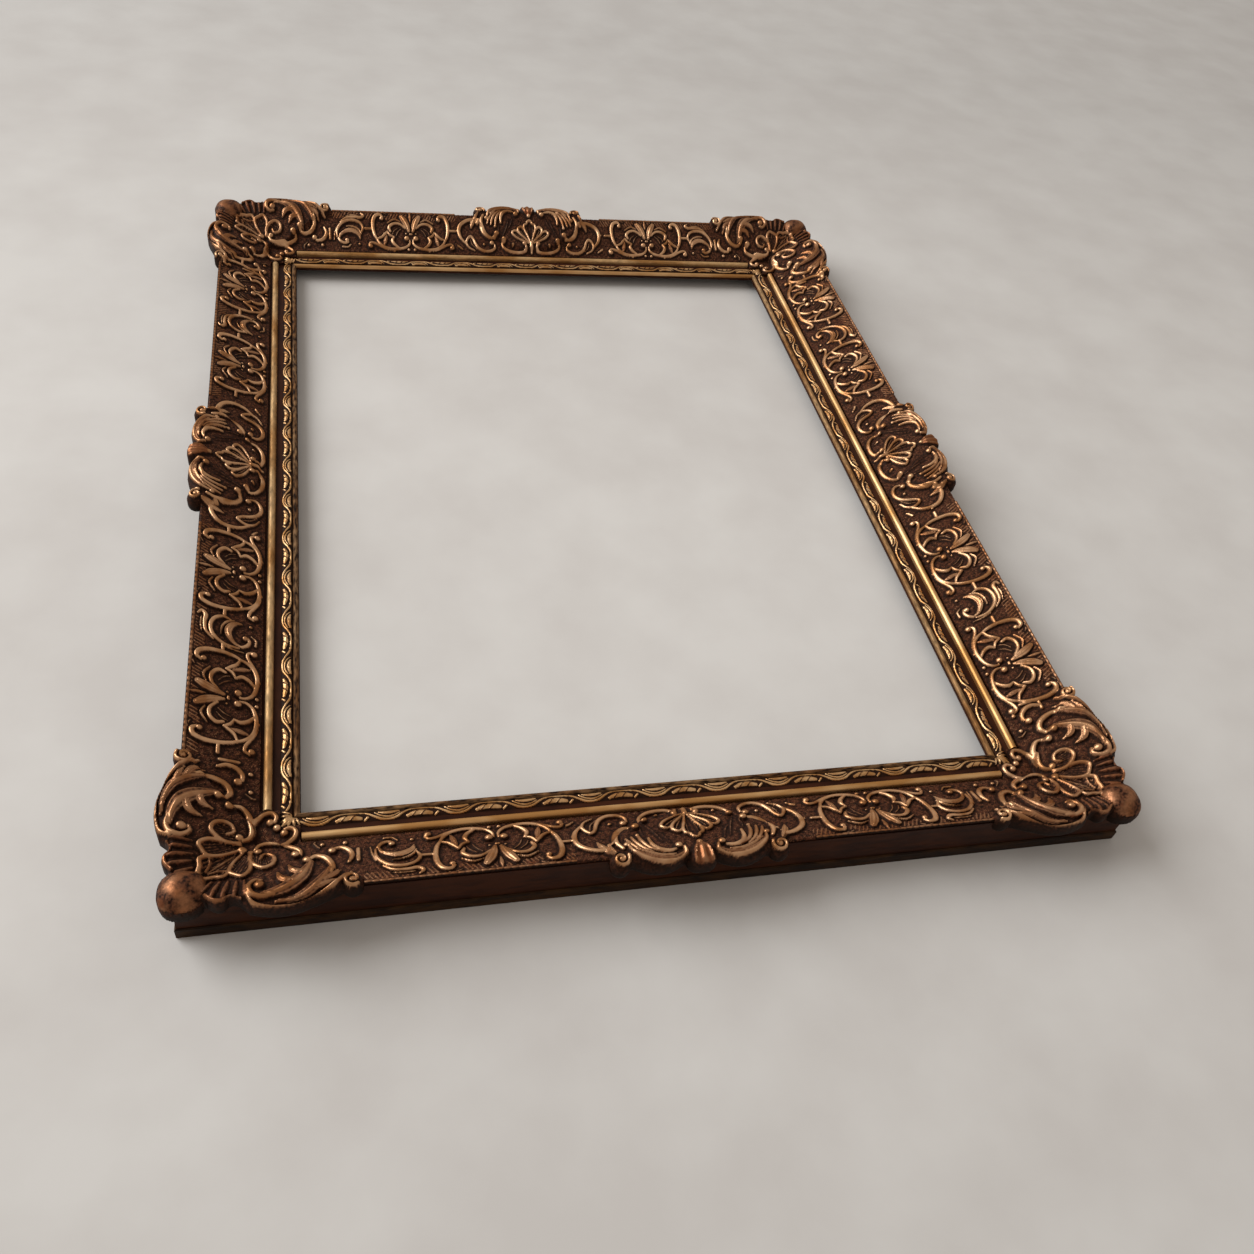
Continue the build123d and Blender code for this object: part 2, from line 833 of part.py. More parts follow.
def all_v_nails():
    nails = []
    for corner in corner_turn:
        nails += [place_corner(corner, nail) for nail in corner_nails()]
    return nails


def all_frame_screws(clearance):
    screws = []
    for side in side_turn:
        for spot in frame_screw_spots(side):
            screws.append(place_side(side, Pos(spot, -frame_screw_outward, 0) * frame_screw(clearance)))
    return screws


def all_button_screws(clearance):
    screws = []
    for side in side_turn:
        for spot in button_spots(side):
            place = Pos(spot, -(rebate_width + button_outward), 0)
            screws.append(place_side(side, place * button_screw(clearance)))
    return screws


def all_hanger_screws(clearance):
    screws = []
    for side in side_turn:
        for spot, direction in hanger_spots(side):
            for place in hanger_screw_places():
                lone = Pos(0, -place, 0) * hanger_screw(clearance)
                screws.append(place_hanger(side, spot, direction, lone))
    return screws


def near_pieces(pieces, body):
    """The pieces whose boxes meet a body's box, so that cuts stay quick."""
    box = body.bounding_box()
    chosen = []
    for piece in pieces:
        other = piece.bounding_box()
        apart_x = other.min.X > box.max.X or other.max.X < box.min.X
        apart_y = other.min.Y > box.max.Y or other.max.Y < box.min.Y
        if not (apart_x or apart_y):
            chosen.append(piece)
    return chosen


def write(name, thing):
    export_step(thing, "parts/" + name + ".step")


def write_group(name, things):
    write(name, Compound(children=[solid for thing in things for solid in thing.solids()]))


def main():
    os.makedirs("parts", exist_ok=True)
    holes = all_v_nails() + all_frame_screws(wood_clearance)
    holes += all_button_screws(wood_clearance) + all_hanger_screws(wood_clearance)
    for side in side_turn:
        half = side_half[side]
        moulding = place_side(side, mitred_bar(moulding_section(), half, moulding_width))
        back = place_side(side, mitred_bar(back_section(), half, foot_outer))
        write(side + "_moulding", moulding - near_pieces(holes, moulding))
        write(side + "_back_rail", back - near_pieces(holes, back))
        write(side + "_sight_bead", place_side(side, mitred_bar(bead_section(), half, bead_outer)))
        write(side + "_ribbon_band", place_side(side, mitred_bar(band_section(), half, band_outer)))
        fillet_half = half - fillet_end_gap
        fillet_bar = straight_bar(fillet_section(), -fillet_half, fillet_half)
        write(side + "_fillet", place_side(side, fillet_bar))
        write(side + "_centre_ornament", place_side(side, centre_ornament()))
        for number, direction in ((1, -1), (2, 1)):
            strip = place_side(side, ornament_strip(side, direction))
            write(side + "_scroll_strip_" + str(number), strip)
        for number, spot in enumerate(button_spots(side), start=1):
            place = Pos(spot, -(rebate_width + button_outward), 0)
            button = place_side(side, place * turn_button())
            write(side + "_turn_button_" + str(number), button)
        for spot, direction in hanger_spots(side):
            write(side + "_hanger_strap", place_hanger(side, spot, direction, hanger_strap()))
            write(side + "_hanger_ring", place_hanger(side, spot, direction, hanger_ring()))
    corner = corner_ornament()
    for name in corner_turn:
        write(name + "_corner_ornament", place_corner(name, corner))
    write_group("mitre_v_nails", all_v_nails())
    write_group("back_rail_screws", all_frame_screws(0))
    write_group("turn_button_screws", all_button_screws(0))
    write_group("hanger_screws", all_hanger_screws(0))


main()
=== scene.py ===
# %% [markdown]
# An ornate gilded picture frame, lying face up on a pale floor. The construction comes from
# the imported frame, whose nodes are the wood, the trims and the fittings at their real size.
# This file gives every surface its finish, and carves the cast ornament that the plain
# castings only block out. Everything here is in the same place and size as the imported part.

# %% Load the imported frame
import math
from collections import namedtuple

import bpy
import numpy as np
from mathutils import Matrix, Vector


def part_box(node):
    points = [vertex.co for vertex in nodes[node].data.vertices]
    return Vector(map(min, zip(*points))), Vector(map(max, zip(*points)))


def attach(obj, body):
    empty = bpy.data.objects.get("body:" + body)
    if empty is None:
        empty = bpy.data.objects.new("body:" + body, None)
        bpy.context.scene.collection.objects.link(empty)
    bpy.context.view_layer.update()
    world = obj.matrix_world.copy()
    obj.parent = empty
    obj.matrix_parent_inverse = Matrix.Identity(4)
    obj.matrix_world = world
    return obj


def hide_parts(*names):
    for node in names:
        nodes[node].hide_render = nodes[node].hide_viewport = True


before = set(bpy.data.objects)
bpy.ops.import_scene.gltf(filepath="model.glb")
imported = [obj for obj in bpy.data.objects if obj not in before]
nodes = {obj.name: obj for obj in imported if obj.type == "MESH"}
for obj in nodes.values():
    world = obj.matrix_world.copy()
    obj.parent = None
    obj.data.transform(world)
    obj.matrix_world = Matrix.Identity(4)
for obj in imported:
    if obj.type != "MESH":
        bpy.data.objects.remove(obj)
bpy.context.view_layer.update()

# %% [markdown]
# The drawing unit is the millimetre, as on a frame maker's bench, and meshes are turned into
# metres when they are placed. The distances that the ornament has to fit are read from the
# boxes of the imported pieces: the sight opening, the crest and the castings' own edges.

# %% Sizes taken from the frame
MM = 0.001
half_width = -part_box("left_moulding")[1].x / MM
half_height = -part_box("near_moulding")[1].y / MM


def outward(node, corner):
    """Distance from the near sight edge out to a face of a near piece."""
    return -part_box(node)[corner].y / MM - half_height


field_inner = outward("near_scroll_strip_1", 1)
crest_outer = outward("near_scroll_strip_1", 0)
moulding_outer = outward("near_moulding", 0)
overhang_outer = outward("near_centre_ornament", 0)
band_inner = outward("near_ribbon_band", 1)
band_outer = outward("near_ribbon_band", 0)
band_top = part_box("near_ribbon_band")[1].z / MM
seat_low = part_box("near_scroll_strip_1")[0].z / MM
moulding_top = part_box("near_moulding")[1].z / MM
centre_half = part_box("near_centre_ornament")[1].x / MM
corner_arm = half_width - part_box("near_scroll_strip_2")[1].x / MM
slope_share = (moulding_top - seat_low) / (moulding_outer - field_inner)
slope_cos = math.cos(math.atan(slope_share))
casting_thickness = 2.43
field_width = (crest_outer - field_inner) / slope_cos
print("sight opening:", round(2 * half_width, 1), "by", round(2 * half_height, 1), "mm")
print("ornament field:", round(field_width, 1), "mm up the slope")

# %% [markdown]
# The camera stands where the photograph was taken: a wide lens, near the left corner, looking
# down across the frame and rolled a little. Its place and its two axes are written in metres,
# and the third axis follows from them, so the three stay square to each other.

# %% Camera
camera_place = Vector((-0.1863, -0.6848, 0.5874))
camera_right = Vector((0.97126, -0.19339, 0.13875))
camera_up = Vector((0.04983, 0.73524, 0.67598))
camera_lens = 32.553
sensor_width = 36.0


def put(name, data):
    """A new object with this data, linked into the scene."""
    made = bpy.data.objects.new(name, data)
    bpy.context.scene.collection.objects.link(made)
    return made


def make_camera():
    back = camera_right.cross(camera_up).normalized()
    up = back.cross(camera_right.normalized())
    camera = put("camera", bpy.data.cameras.new("camera"))
    camera.data.lens = camera_lens
    camera.data.sensor_width = sensor_width
    turned = Matrix((camera_right.normalized(), up, back)).transposed().to_4x4()
    camera.matrix_world = Matrix.Translation(camera_place) @ turned
    bpy.context.scene.camera = camera
    return camera


camera = make_camera()
bpy.context.scene.view_settings.view_transform = "Standard"
print("camera at", tuple(round(v, 3) for v in camera.location))

# %% [markdown]
# A shader is a small program of nodes. Two helpers keep the ones below short: fill gives a
# node's inputs their values or joins them to other nodes, and add makes a node and fills it.

# %% Shader helpers


def fill(tree, node, inputs):
    """Give each input a value, or another node's output to follow."""
    for name, value in inputs.items():
        if isinstance(value, bpy.types.NodeSocket):
            tree.links.new(value, node.inputs[name])
        else:
            node.inputs[name].default_value = value


def add(tree, kind, inputs=None, **settings):
    """A node with its settings made and its inputs filled."""
    made = tree.nodes.new(kind if kind.startswith("Geometry") else "ShaderNode" + kind)
    for name, value in settings.items():
        setattr(made, name, value)
    fill(tree, made, inputs or {})
    return made


def mix_colour(tree, factor, first, second, blend="MIX"):
    inputs = {0: factor, 6: first, 7: second}
    return add(tree, "Mix", inputs, data_type="RGBA", blend_type=blend).outputs[2]


def remap(tree, value, low, high, new_low=0.0, new_high=1.0):
    """A value moved from one range to another, and held inside the new one."""
    fields = {"From Min": low, "From Max": high, "To Min": new_low, "To Max": new_high}
    return add(tree, "MapRange", {"Value": value, **fields}).outputs[0]


def calculate(tree, operation, *values, clamp=False):
    inputs = dict(enumerate(values))
    return add(tree, "Math", inputs, operation=operation, use_clamp=clamp).outputs[0]


def noise(tree, vector, scale, detail=3.0):
    return add(tree, "TexNoise", {"Vector": vector, "Scale": scale, "Detail": detail}).outputs[0]


def srgb(code):
    """A colour written as six hex digits, turned into the linear values that shaders use."""
    values = [int(code[i : i + 2], 16) / 255 for i in (0, 2, 4)]
    linear = [v / 12.92 if v <= 0.04045 else ((v + 0.055) / 1.055) ** 2.4 for v in values]
    return (*linear, 1.0)


def new_material(name):
    material = bpy.data.materials.new(name)
    material.use_nodes = True
    tree = material.node_tree
    return material, tree, tree.nodes["Principled BSDF"]


def place_vector(tree, stretch=(1.0, 1.0, 1.0)):
    """Object coordinates, stretched for patterns that run along a piece."""
    coords = add(tree, "TexCoord").outputs["Object"]
    return add(tree, "Mapping", {"Vector": coords, "Scale": stretch}).outputs[0]


print("shader helpers ready")

# %% [markdown]
# The floor is a pale plastered ground with very faint clouds in it, and it grows a little
# darker away from the frame. It is only there to lie on and to take the shadow. One large
# soft lamp beyond the left far corner makes the shadow, and the even, slightly warm world
# fills the dark sides.
# That darkening away from the frame is a painted shade, as if the lamp's light fell off there.

# %% Floor and light
floor_half = 4.0
floor_drop = 0.0004
floor_colours = (srgb("c6bfb7"), srgb("cfc9c1"))
floor_roughness, floor_sheen = 0.9, 0.2
broad_scale, broad_share = 2.2, 0.4
cloud_scale, cloud_detail, cloud_share = 14.0, 9.0, 0.6
cloud_range = (0.38, 0.62)
lit_stretch = (1.0, 2.4, 1.0)
lit_middle = (-0.4, -0.24, 0.0)
lit_reach = (0.5, 2.5)
far_shade = 0.787
lamp_place = Vector((-4.3, 2.3, 3.6))
lamp_aim = Vector((2.7, -2.3, 0.0))
lamp_size = 5.6
lamp_power = 476.0
lamp_colour = (0.89, 0.94, 1.0)
world_colour = (1.0, 0.95, 0.91, 1.0)
world_strength = 0.5


def make_floor():
    mesh = bpy.data.meshes.new("floor")
    corners = [(-1, -1), (1, -1), (1, 1), (-1, 1)]
    places = [(x * floor_half, y * floor_half, -floor_drop) for x, y in corners]
    mesh.from_pydata(places, [], [(0, 1, 2, 3)])
    floor = put("floor", mesh)
    material, tree, shader = new_material("plastered floor")
    place = place_vector(tree)
    broad = calculate(tree, "MULTIPLY", noise(tree, place, broad_scale), broad_share)
    clouds = noise(tree, place, cloud_scale, cloud_detail)
    clouds = calculate(tree, "MULTIPLY_ADD", clouds, cloud_share, broad)
    colour = mix_colour(tree, remap(tree, clouds, *cloud_range), *floor_colours)
    # Painted shade: the floor's colour grows darker with distance from a middle near the frame, as
    # if the light fell off.
    ends = {0: place_vector(tree, lit_stretch), 1: lit_middle}
    away = add(tree, "VectorMath", ends, operation="DISTANCE").outputs["Value"]
    shade = remap(tree, away, *lit_reach, 1.0, far_shade)
    colour = mix_colour(tree, 1.0, colour, shade, "MULTIPLY")
    look = {"Base Color": colour, "Roughness": floor_roughness, "Specular IOR Level": floor_sheen}
    fill(tree, shader, look)
    mesh.materials.append(material)


def make_lights():
    lamp = put("window light", bpy.data.lights.new("window light", "AREA"))
    lamp.data.shape = "DISK"
    lamp.data.size = lamp_size
    lamp.data.energy = lamp_power
    lamp.data.color = lamp_colour
    lamp.location = lamp_place
    lamp.rotation_mode = "QUATERNION"
    lamp.rotation_quaternion = (lamp_aim - lamp_place).to_track_quat("-Z", "Y")
    world = bpy.data.worlds.new("even room light")
    world.use_nodes = True
    sky = world.node_tree.nodes["Background"]
    fill(world.node_tree, sky, {"Color": world_colour, "Strength": world_strength})
    bpy.context.scene.world = world


make_floor()
make_lights()
print("lamp", lamp_power, "W, world", world_strength)

# %% [markdown]
# Bronze gilding on such a frame is thin metal over dark brown, rubbed back so that the gold
# stays on the high places, turns coppery where it is thin, and leaves the hollows dark. One
# shader group makes that everywhere. The masks say where metal may be and where shade is
# painted into the hollows, the noise wears it.

# %% Shader group: rubbed gilding
gold = srgb("a27046")
gold_light = srgb("dfb084")
copper = srgb("7c482c")
umber = srgb("532d1d")
umber_dark = srgb("180b06")
warm_sheen = (1.0, 0.78, 0.6, 1.0)
sheen_level = 0.1
speck_finer, speck_detail = 9.0, 4.0
wear_depth = 0.5
worn_edge = (0.25, 0.7)
tone_patches = (0.4, 0.65)
rubbed_patches, rubbed_copper = (0.6, 0.75), 0.45
ground_specks = (0.35, 0.7)
gilded_metal = 0.8
painted_roughness, gilded_roughness = 0.6, 0.32


def group_tree(name, inputs, outputs, kind="ShaderNodeTree"):
    """A group of nodes, what it is given, and its result; sockets are listed by their kind."""
    tree = bpy.data.node_groups.new(name, kind)
    for way, sockets in (("INPUT", inputs), ("OUTPUT", outputs)):
        for value, names in sockets.items():
            for socket in names:
                wanted = "NodeSocket" + value
                tree.interface.new_socket(name=socket, in_out=way, socket_type=wanted)
    return tree, tree.nodes.new("NodeGroupInput").outputs, tree.nodes.new("NodeGroupOutput")


def make_gilding_group():
    floats = ["Gild", "Copper", "Recess", "Grain Scale"]
    colours = ["Gold", "Gold Light", "Copper Colour", "Ground", "Ground Dark"]
    inputs = {"Vector": ["Vector"], "Float": floats, "Color": colours}
    outputs = {"Color": ["Colour"], "Float": ["Metal", "Roughness", "Height"]}
    tree, given, result = group_tree("rubbed gilding", inputs, outputs)
    scale = calculate(tree, "MULTIPLY", given["Grain Scale"], speck_finer)
    speck = noise(tree, given["Vector"], scale, speck_detail)
    patch = noise(tree, given["Vector"], given["Grain Scale"])
    wear = calculate(tree, "MULTIPLY_ADD", speck, wear_depth, -wear_depth / 2)
    mask = remap(tree, calculate(tree, "ADD", given["Gild"], wear), *worn_edge)
    tone = remap(tree, patch, *tone_patches)
    tone = mix_colour(tree, tone, given["Gold"], given["Gold Light"])
    rub = remap(tree, patch, *rubbed_patches, 0.0, rubbed_copper)
    rub = calculate(tree, "ADD", given["Copper"], rub, clamp=True)
    metal = mix_colour(tree, rub, tone, given["Copper Colour"])
    dark = given["Ground Dark"]
    ground = mix_colour(tree, remap(tree, speck, *ground_specks), dark, given["Ground"])
    # Painted shade, partly dark paint: this mask pulls the ground toward Ground Dark in creases, at
    # stroke feet and on undersides.
    ground = mix_colour(tree, given["Recess"], ground, dark)
    roughness = remap(tree, mask, 0.0, 1.0, painted_roughness, gilded_roughness)
    fill(tree, result, {
        "Colour": mix_colour(tree, mask, ground, metal),
        "Metal": calculate(tree, "MULTIPLY", mask, gilded_metal),
        "Roughness": roughness,
        "Height": speck,
    })
    return tree


gilding_group = make_gilding_group()


def dress(tree, shader, group, bump, **inputs):
    """Join a finish group to its shader: its colour, and its height as a fine bump."""
    relief = add(tree, "Bump", {"Height": group.outputs["Height"], "Distance": bump})
    inputs |= {"Base Color": group.outputs["Colour"], "Normal": relief.outputs[0]}
    fill(tree, shader, {**inputs, "Specular IOR Level": sheen_level, "Specular Tint": warm_sheen})


def gilded_material(name, masks, scale, bump, stretch=(1.0, 1.0, 1.0), dull=0.0, **colours):
    """A material of rubbed gilding; masks are numbers, or names of the mesh's attributes."""
    material, tree, shader = new_material(name)
    inputs = {"Vector": place_vector(tree, stretch), "Grain Scale": scale}
    inputs |= {"Gold": gold, "Gold Light": gold_light, "Copper Colour": copper}
    inputs |= {"Ground": umber, "Ground Dark": umber_dark, **colours}
    for socket, value in masks.items():
        if isinstance(value, str):
            value = add(tree, "Attribute", attribute_name=value).outputs["Fac"]
        inputs[socket] = value
    group = add(tree, "Group", inputs, node_tree=gilding_group)
    roughness = calculate(tree, "ADD", group.outputs["Roughness"], dull)
    dress(tree, shader, group, bump, Metallic=group.outputs["Metal"], Roughness=roughness)
    return material


carved_masks = {"Gild": "gild", "Copper": "copper", "Recess": "recess"}
casting_look = (60.0, 0.00014)
ribbon_look = (90.0, 0.0001)
casting_finish = gilded_material("gilded casting", carved_masks, *casting_look)
ribbon_tones = {"Gold": srgb("b9854f"), "Gold Light": srgb("ecc08a")}
ribbon_finish = gilded_material("gilded ribbon", carved_masks, *ribbon_look, **ribbon_tones)
print("gilding group and two materials")

# %% [markdown]
# Each casting is carved as a height over a flat drawing, in the way that a mould is cut: a
# stroke is a line with a width at each of its points, and a round, ribbed or veined section.
# A smooth curve through the points gives the line, and where strokes cross, the higher wins.

# %% Drawing strokes
Mark = namedtuple("Mark", "rows profile rise gild copper")
path_spacing = 0.6
finest_width = 0.2
swell = 1.1
ball_rise = 1.25
ribs, rib_depth = 3, 0.14
veins, vein_depth = 2, 0.2
ridge_power = 1.6
least_length2 = 1e-9


def smooth_path(rows):
    """A smooth curve through rows of (x, y, half width), as closely spaced rows."""
    rows = np.array(rows, float) * (1, 1, swell)
    if len(rows) < 2:
        return rows
    ends = np.vstack([2 * rows[0] - rows[1], rows, 2 * rows[-1] - rows[-2]])
    gaps = np.sqrt(np.hypot(*np.diff(ends[:, :2], axis=0).T))
    pieces = []
    for i in range(1, len(ends) - 2):
        before, start, stop, after = ends[i - 1 : i + 3]
        g0, g1, g2 = gaps[i - 1 : i + 2]
        leave = g1 * ((start - before) / g0 - (stop - before) / (g0 + g1) + (stop - start) / g1)
        arrive = g1 * ((stop - start) / g1 - (after - start) / (g1 + g2) + (after - stop) / g2)
        count = max(2, int(g1 * g1 / path_spacing))
        t = np.linspace(0, 1, count, endpoint=False)[:, None]
        pieces.append(
            (2 * t**3 - 3 * t**2 + 1) * start
            + (t**3 - 2 * t**2 + t) * leave
            + (3 * t**2 - 2 * t**3) * stop
            + (t**3 - t**2) * arrive
        )
    path = np.vstack([*pieces, rows[-1:]])
    path[:, 2] = np.maximum(path[:, 2], finest_width)
    return path


def nearest_on_path(path, x, y):
    """For each point: distance to the path, which side it is on, and the half width there."""
    point = np.stack([x, y], -1)
    if len(path) == 1:
        away = np.hypot(*(point - path[0, :2]).T)
        return away, np.zeros_like(away), np.full_like(away, path[0, 2])
    start, step = path[:-1, :2], np.diff(path[:, :2], axis=0)
    length2 = np.maximum((step**2).sum(1), least_length2)
    offset = point[:, None] - start
    t = np.clip((offset * step).sum(2) / length2, 0, 1)
    gap = offset - t[..., None] * step
    best = (gap**2).sum(2).argmin(1)
    rows = np.arange(len(x))
    t = t[rows, best]
    gap = gap[rows, best]
    side = np.sign(step[best, 0] * gap[:, 1] - step[best, 1] * gap[:, 0])
    half = path[best, 2] + t * (path[best + 1, 2] - path[best, 2])
    return np.hypot(*gap.T), side, half


def smooth_step(low, high, value):
    t = np.clip((value - low) / (high - low), 0, 1)
    return t * t * (3 - 2 * t)


# Sections of a stroke: q is 0 on its line and 1 at its edge, side is negative to one side
def round_section(q, side):
    return np.sqrt(1 - q * q)


def ribbed_section(q, side):
    return np.sqrt(1 - q * q) * (1 - rib_depth + rib_depth * np.cos(ribs * math.pi * side))


def veined_section(q, side):
    return np.sqrt(1 - q**4) * (1 - vein_depth + vein_depth * np.cos(veins * math.pi * side))


def ridge_section(q, side):
    return 1 - q**ridge_power


def kind_of_stroke(section, *usual):
    """A maker of strokes; rise, gild and copper are the usual ones unless they are given."""
    return lambda rows, *given: Mark(rows, section, *given, *usual[len(given) :])


line = kind_of_stroke(round_section, 2.2, 1.0, 0.0)
plume = kind_of_stroke(ribbed_section, 2.6, 1.0, 0.1)
leaf = kind_of_stroke(veined_section, 2.5, 0.6, 0.6)
vein = kind_of_stroke(ridge_section, 0.9, 0.55, 0.2)


def ball(x, y, radius, copper=0.0):
    return Mark([(x, y, radius)], round_section, ball_rise * radius, 1.0, copper)


print("five kinds of stroke")

# %% [markdown]
# A Relief holds the height and the finish at every point of one casting. The masks are kept
# as attributes of the mesh: gild where a stroke stands high, copper where it is rubbed thin,
# and a dark mask in the line at the foot of each stroke, partly brown paint pooled there and
# partly painted shade, the shade that falls in the crease.

# %% Relief
recess_width = 2.2
pebble_pitch = 2.1
pebble_rise = 0.4
pebble_edge = (0.05, 0.65)
pebble_gild = 0.55
pebble_sway, sway_along, sway_up = 1.6, 0.61, 0.53
bare_ground, low_ground = 0.3, 0.45
ground_copper = 0.7
side_copper = 0.7
gild_edge = (0.35, 0.95)
foot_edge = (0.1, 0.6)


class Relief:
    """Raised work over the points of a flat drawing, in millimetres."""

    def __init__(self, x, y):
        self.x, self.y = x, y
        self.height, self.gild, self.copper, self.recess = np.zeros((4, len(x)))

    def set_where(self, chosen, **values):
        """Give the height or the masks new values at the chosen points."""
        for name, value in values.items():
            setattr(self, name, np.where(chosen, value, getattr(self, name)))

    def carve(self, marks, x=None, y=None):
        """Add strokes; x and y are the drawing's own places when it is mirrored or moved."""
        x = self.x if x is None else x
        y = self.y if y is None else y
        for mark in marks:
            path = smooth_path(mark.rows)
            reach = path[:, 2].max() + recess_width
            low = path[:, :2].min(0) - reach
            high = path[:, :2].max(0) + reach
            near = np.flatnonzero((x > low[0]) & (x < high[0]) & (y > low[1]) & (y < high[1]))
            if len(near):
                self.cut_stroke(mark, path, near, x[near], y[near])

    def cut_stroke(self, mark, path, near, x, y):
        away, side, half = nearest_on_path(path, x, y)
        q = away / half
        inside = q < 1
        shape = mark.profile(np.clip(q, 0, 1), np.clip(q, 0, 1) * side)
        taper = np.sqrt(np.clip(half / path[:, 2].max(), 0, 1))
        height = mark.rise * taper * shape
        wins = inside & (height > self.height[near])
        chosen = near[wins]
        self.height[chosen] = height[wins]
        self.gild[chosen] = mark.gild * smooth_step(*gild_edge, shape[wins])
        self.copper[chosen] = np.clip(mark.copper + side_copper * (1 - shape[wins]), 0, 1)
        # Painted shade, partly pooled paint: a dark band round the foot of the stroke, and the dark
        # mask on its lower flanks.
        foot = np.clip(1 - (away - half) / recess_width, 0, 1)
        self.recess[near] = np.maximum(self.recess[near], np.where(inside, 0, foot))
        self.recess[chosen] = 1 - smooth_step(*foot_edge, shape[wins])

    def pebbles(self):
        """The uneven stipple of the plain ground."""
        a = self.x * 2 * math.pi / pebble_pitch
        b = self.y * 2 * math.pi / pebble_pitch
        waves = np.sin(a + pebble_sway * np.sin(sway_along * b))
        waves = waves * np.sin(b + pebble_sway * np.sin(sway_up * a))
        stones = smooth_step(*pebble_edge, waves) * (self.height < bare_ground)
        stones = stones * (1 - self.recess)
        self.height += pebble_rise * stones
        self.gild = np.maximum(self.gild, pebble_gild * stones)
        self.set_where(self.height < low_ground, copper=ground_copper)


print("relief ready")

# %% [markdown]
# A casting becomes a closed shell on a fine square grid: a carved top, a back that fits the
# moulding, and walls round its outline. The outline is a function that is positive inside,
# and the grid's border points slide onto it, so that curved edges come out smooth.

# %% Grid of a casting
Grid = namedtuple("Grid", "x y quads border")
cell_corners = ((0, 0), (1, 0), (1, 1), (0, 1))
beyond_edges = ((0, -1), (1, 0), (0, 1), (-1, 0))
probe_step = 0.05
least_slope = 0.25
slide_rounds = 3


def fill_corners(inside):
    """Fill cells so that no two touch only at a corner, which would pinch the shell."""
    for cells in (inside, inside[::-1]):
        a, b, c, d = cells[:-1, :-1], cells[1:, :-1], cells[:-1, 1:], cells[1:, 1:]
        b |= a & d & ~b & ~c
    return inside


def cast_grid(x_range, y_range, cell, edge_distance):
    """Square cells inside an outline, with the border slid onto it."""
    nx = round((x_range[1] - x_range[0]) / cell)
    ny = round((y_range[1] - y_range[0]) / cell)
    xs = np.linspace(*x_range, nx + 1)
    ys = np.linspace(*y_range, ny + 1)
    middle_x, middle_y = np.meshgrid((xs[1:] + xs[:-1]) / 2, (ys[1:] + ys[:-1]) / 2, indexing="ij")
    inside = edge_distance(middle_x.ravel(), middle_y.ravel()).reshape(nx, ny) > 0
    inside = fill_corners(fill_corners(inside))

    def numbers(chosen, corners):
        """The numbers of the points at some corners of the chosen cells."""
        i, j = np.nonzero(chosen)
        return np.stack([(i + di) * (ny + 1) + j + dj for di, dj in corners], -1)

    quads = numbers(inside, cell_corners)
    around = np.pad(inside, 1)
    border = []
    for k, (di, dj) in enumerate(beyond_edges):
        beyond = around[1 + di : 1 + di + nx, 1 + dj : 1 + dj + ny]
        ends = cell_corners[k], cell_corners[(k + 1) % 4]
        border.append(numbers(inside & ~beyond, ends))
    border = np.vstack(border)
    used, quads = np.unique(quads, return_inverse=True)
    border = np.searchsorted(used, border)
    x, y = (v.ravel()[used] for v in np.meshgrid(xs, ys, indexing="ij"))
    rim = np.unique(border)
    for _ in range(slide_rounds):
        x[rim], y[rim] = slide_to_outline(x[rim], y[rim], edge_distance, cell)
    return Grid(x, y, quads.reshape(-1, 4), border)


def slide_to_outline(x, y, edge_distance, cell):
    """Move points toward where the outline's distance is zero, a cell at most."""
    here = edge_distance(x, y)
    slope_x = edge_distance(x + probe_step, y) - edge_distance(x - probe_step, y)
    slope_y = edge_distance(x, y + probe_step) - edge_distance(x, y - probe_step)
    slope_x, slope_y = slope_x / (2 * probe_step), slope_y / (2 * probe_step)
    move = np.clip(here / np.maximum(slope_x**2 + slope_y**2, least_slope), -cell, cell)
    return x - move * slope_x, y - move * slope_y


def shell_faces(grid, flat_back):
    """Faces of the closed shell; back points follow the top points in the list."""
    count = len(grid.x)
    a, b = grid.border.T
    if not flat_back:
        walls = np.stack([b, a, a + count, b + count], -1)
        faces = np.vstack([grid.quads, grid.quads[:, ::-1] + count, walls]).tolist()
        return faces, np.arange(count)
    follow = dict(grid.border.tolist())
    loop = [int(a[0])]
    while follow[loop[-1]] != loop[0]:
        loop.append(follow[loop[-1]])
    back = {point: count + k for k, point in enumerate(loop)}
    walls = [(q, p, back[p], back[q]) for p, q in grid.border.tolist()]
    return grid.quads.tolist() + walls + [[back[p] for p in loop[::-1]]], np.array(loop)


print("grid ready")

# %% [markdown]
# The same casting is used on several sides, so the drawing is carved once, and the finished
# points are placed by a rule that turns (along, outward) into the frame's own X and Y. A rule
# that mirrors the drawing would turn the shell inside out, so its faces are then reversed.

# %% Placing castings
# The two directions of a side, the way out to its sight edge, and half of that edge's length
Side = namedtuple("Side", "along out offset half_run")
side_axes = {
    "near": Side((1, 0), (0, -1), half_height, half_width),
    "right": Side((0, 1), (1, 0), half_width, half_height),
    "far": Side((-1, 0), (0, 1), half_height, half_width),
    "left": Side((0, -1), (-1, 0), half_width, half_height),
}
sharp_angle = math.radians(58)


def side_place(side, direction=1):
    """Rule for a drawing of (along, outward) on a side of the frame."""
    along, out, offset, _ = side_axes[side]

    def place(x, y):
        x, y = direction * x, offset + y
        return x * along[0] + y * out[0], x * along[1] + y * out[1]

    return place


def corner_place(sign_x, sign_y):
    """Rule for a drawing of the distances past a sight corner along X and Y."""

    def place(x, y):
        return sign_x * (half_width + x), sign_y * (half_height + y)

    return place


def mirrored(place):
    """Whether a rule turns the drawing over."""
    (x0, y0), (x1, y1), (x2, y2) = place(0.0, 0.0), place(1.0, 0.0), place(0.0, 1.0)
    return (x1 - x0) * (y2 - y0) - (y1 - y0) * (x2 - x0) < 0


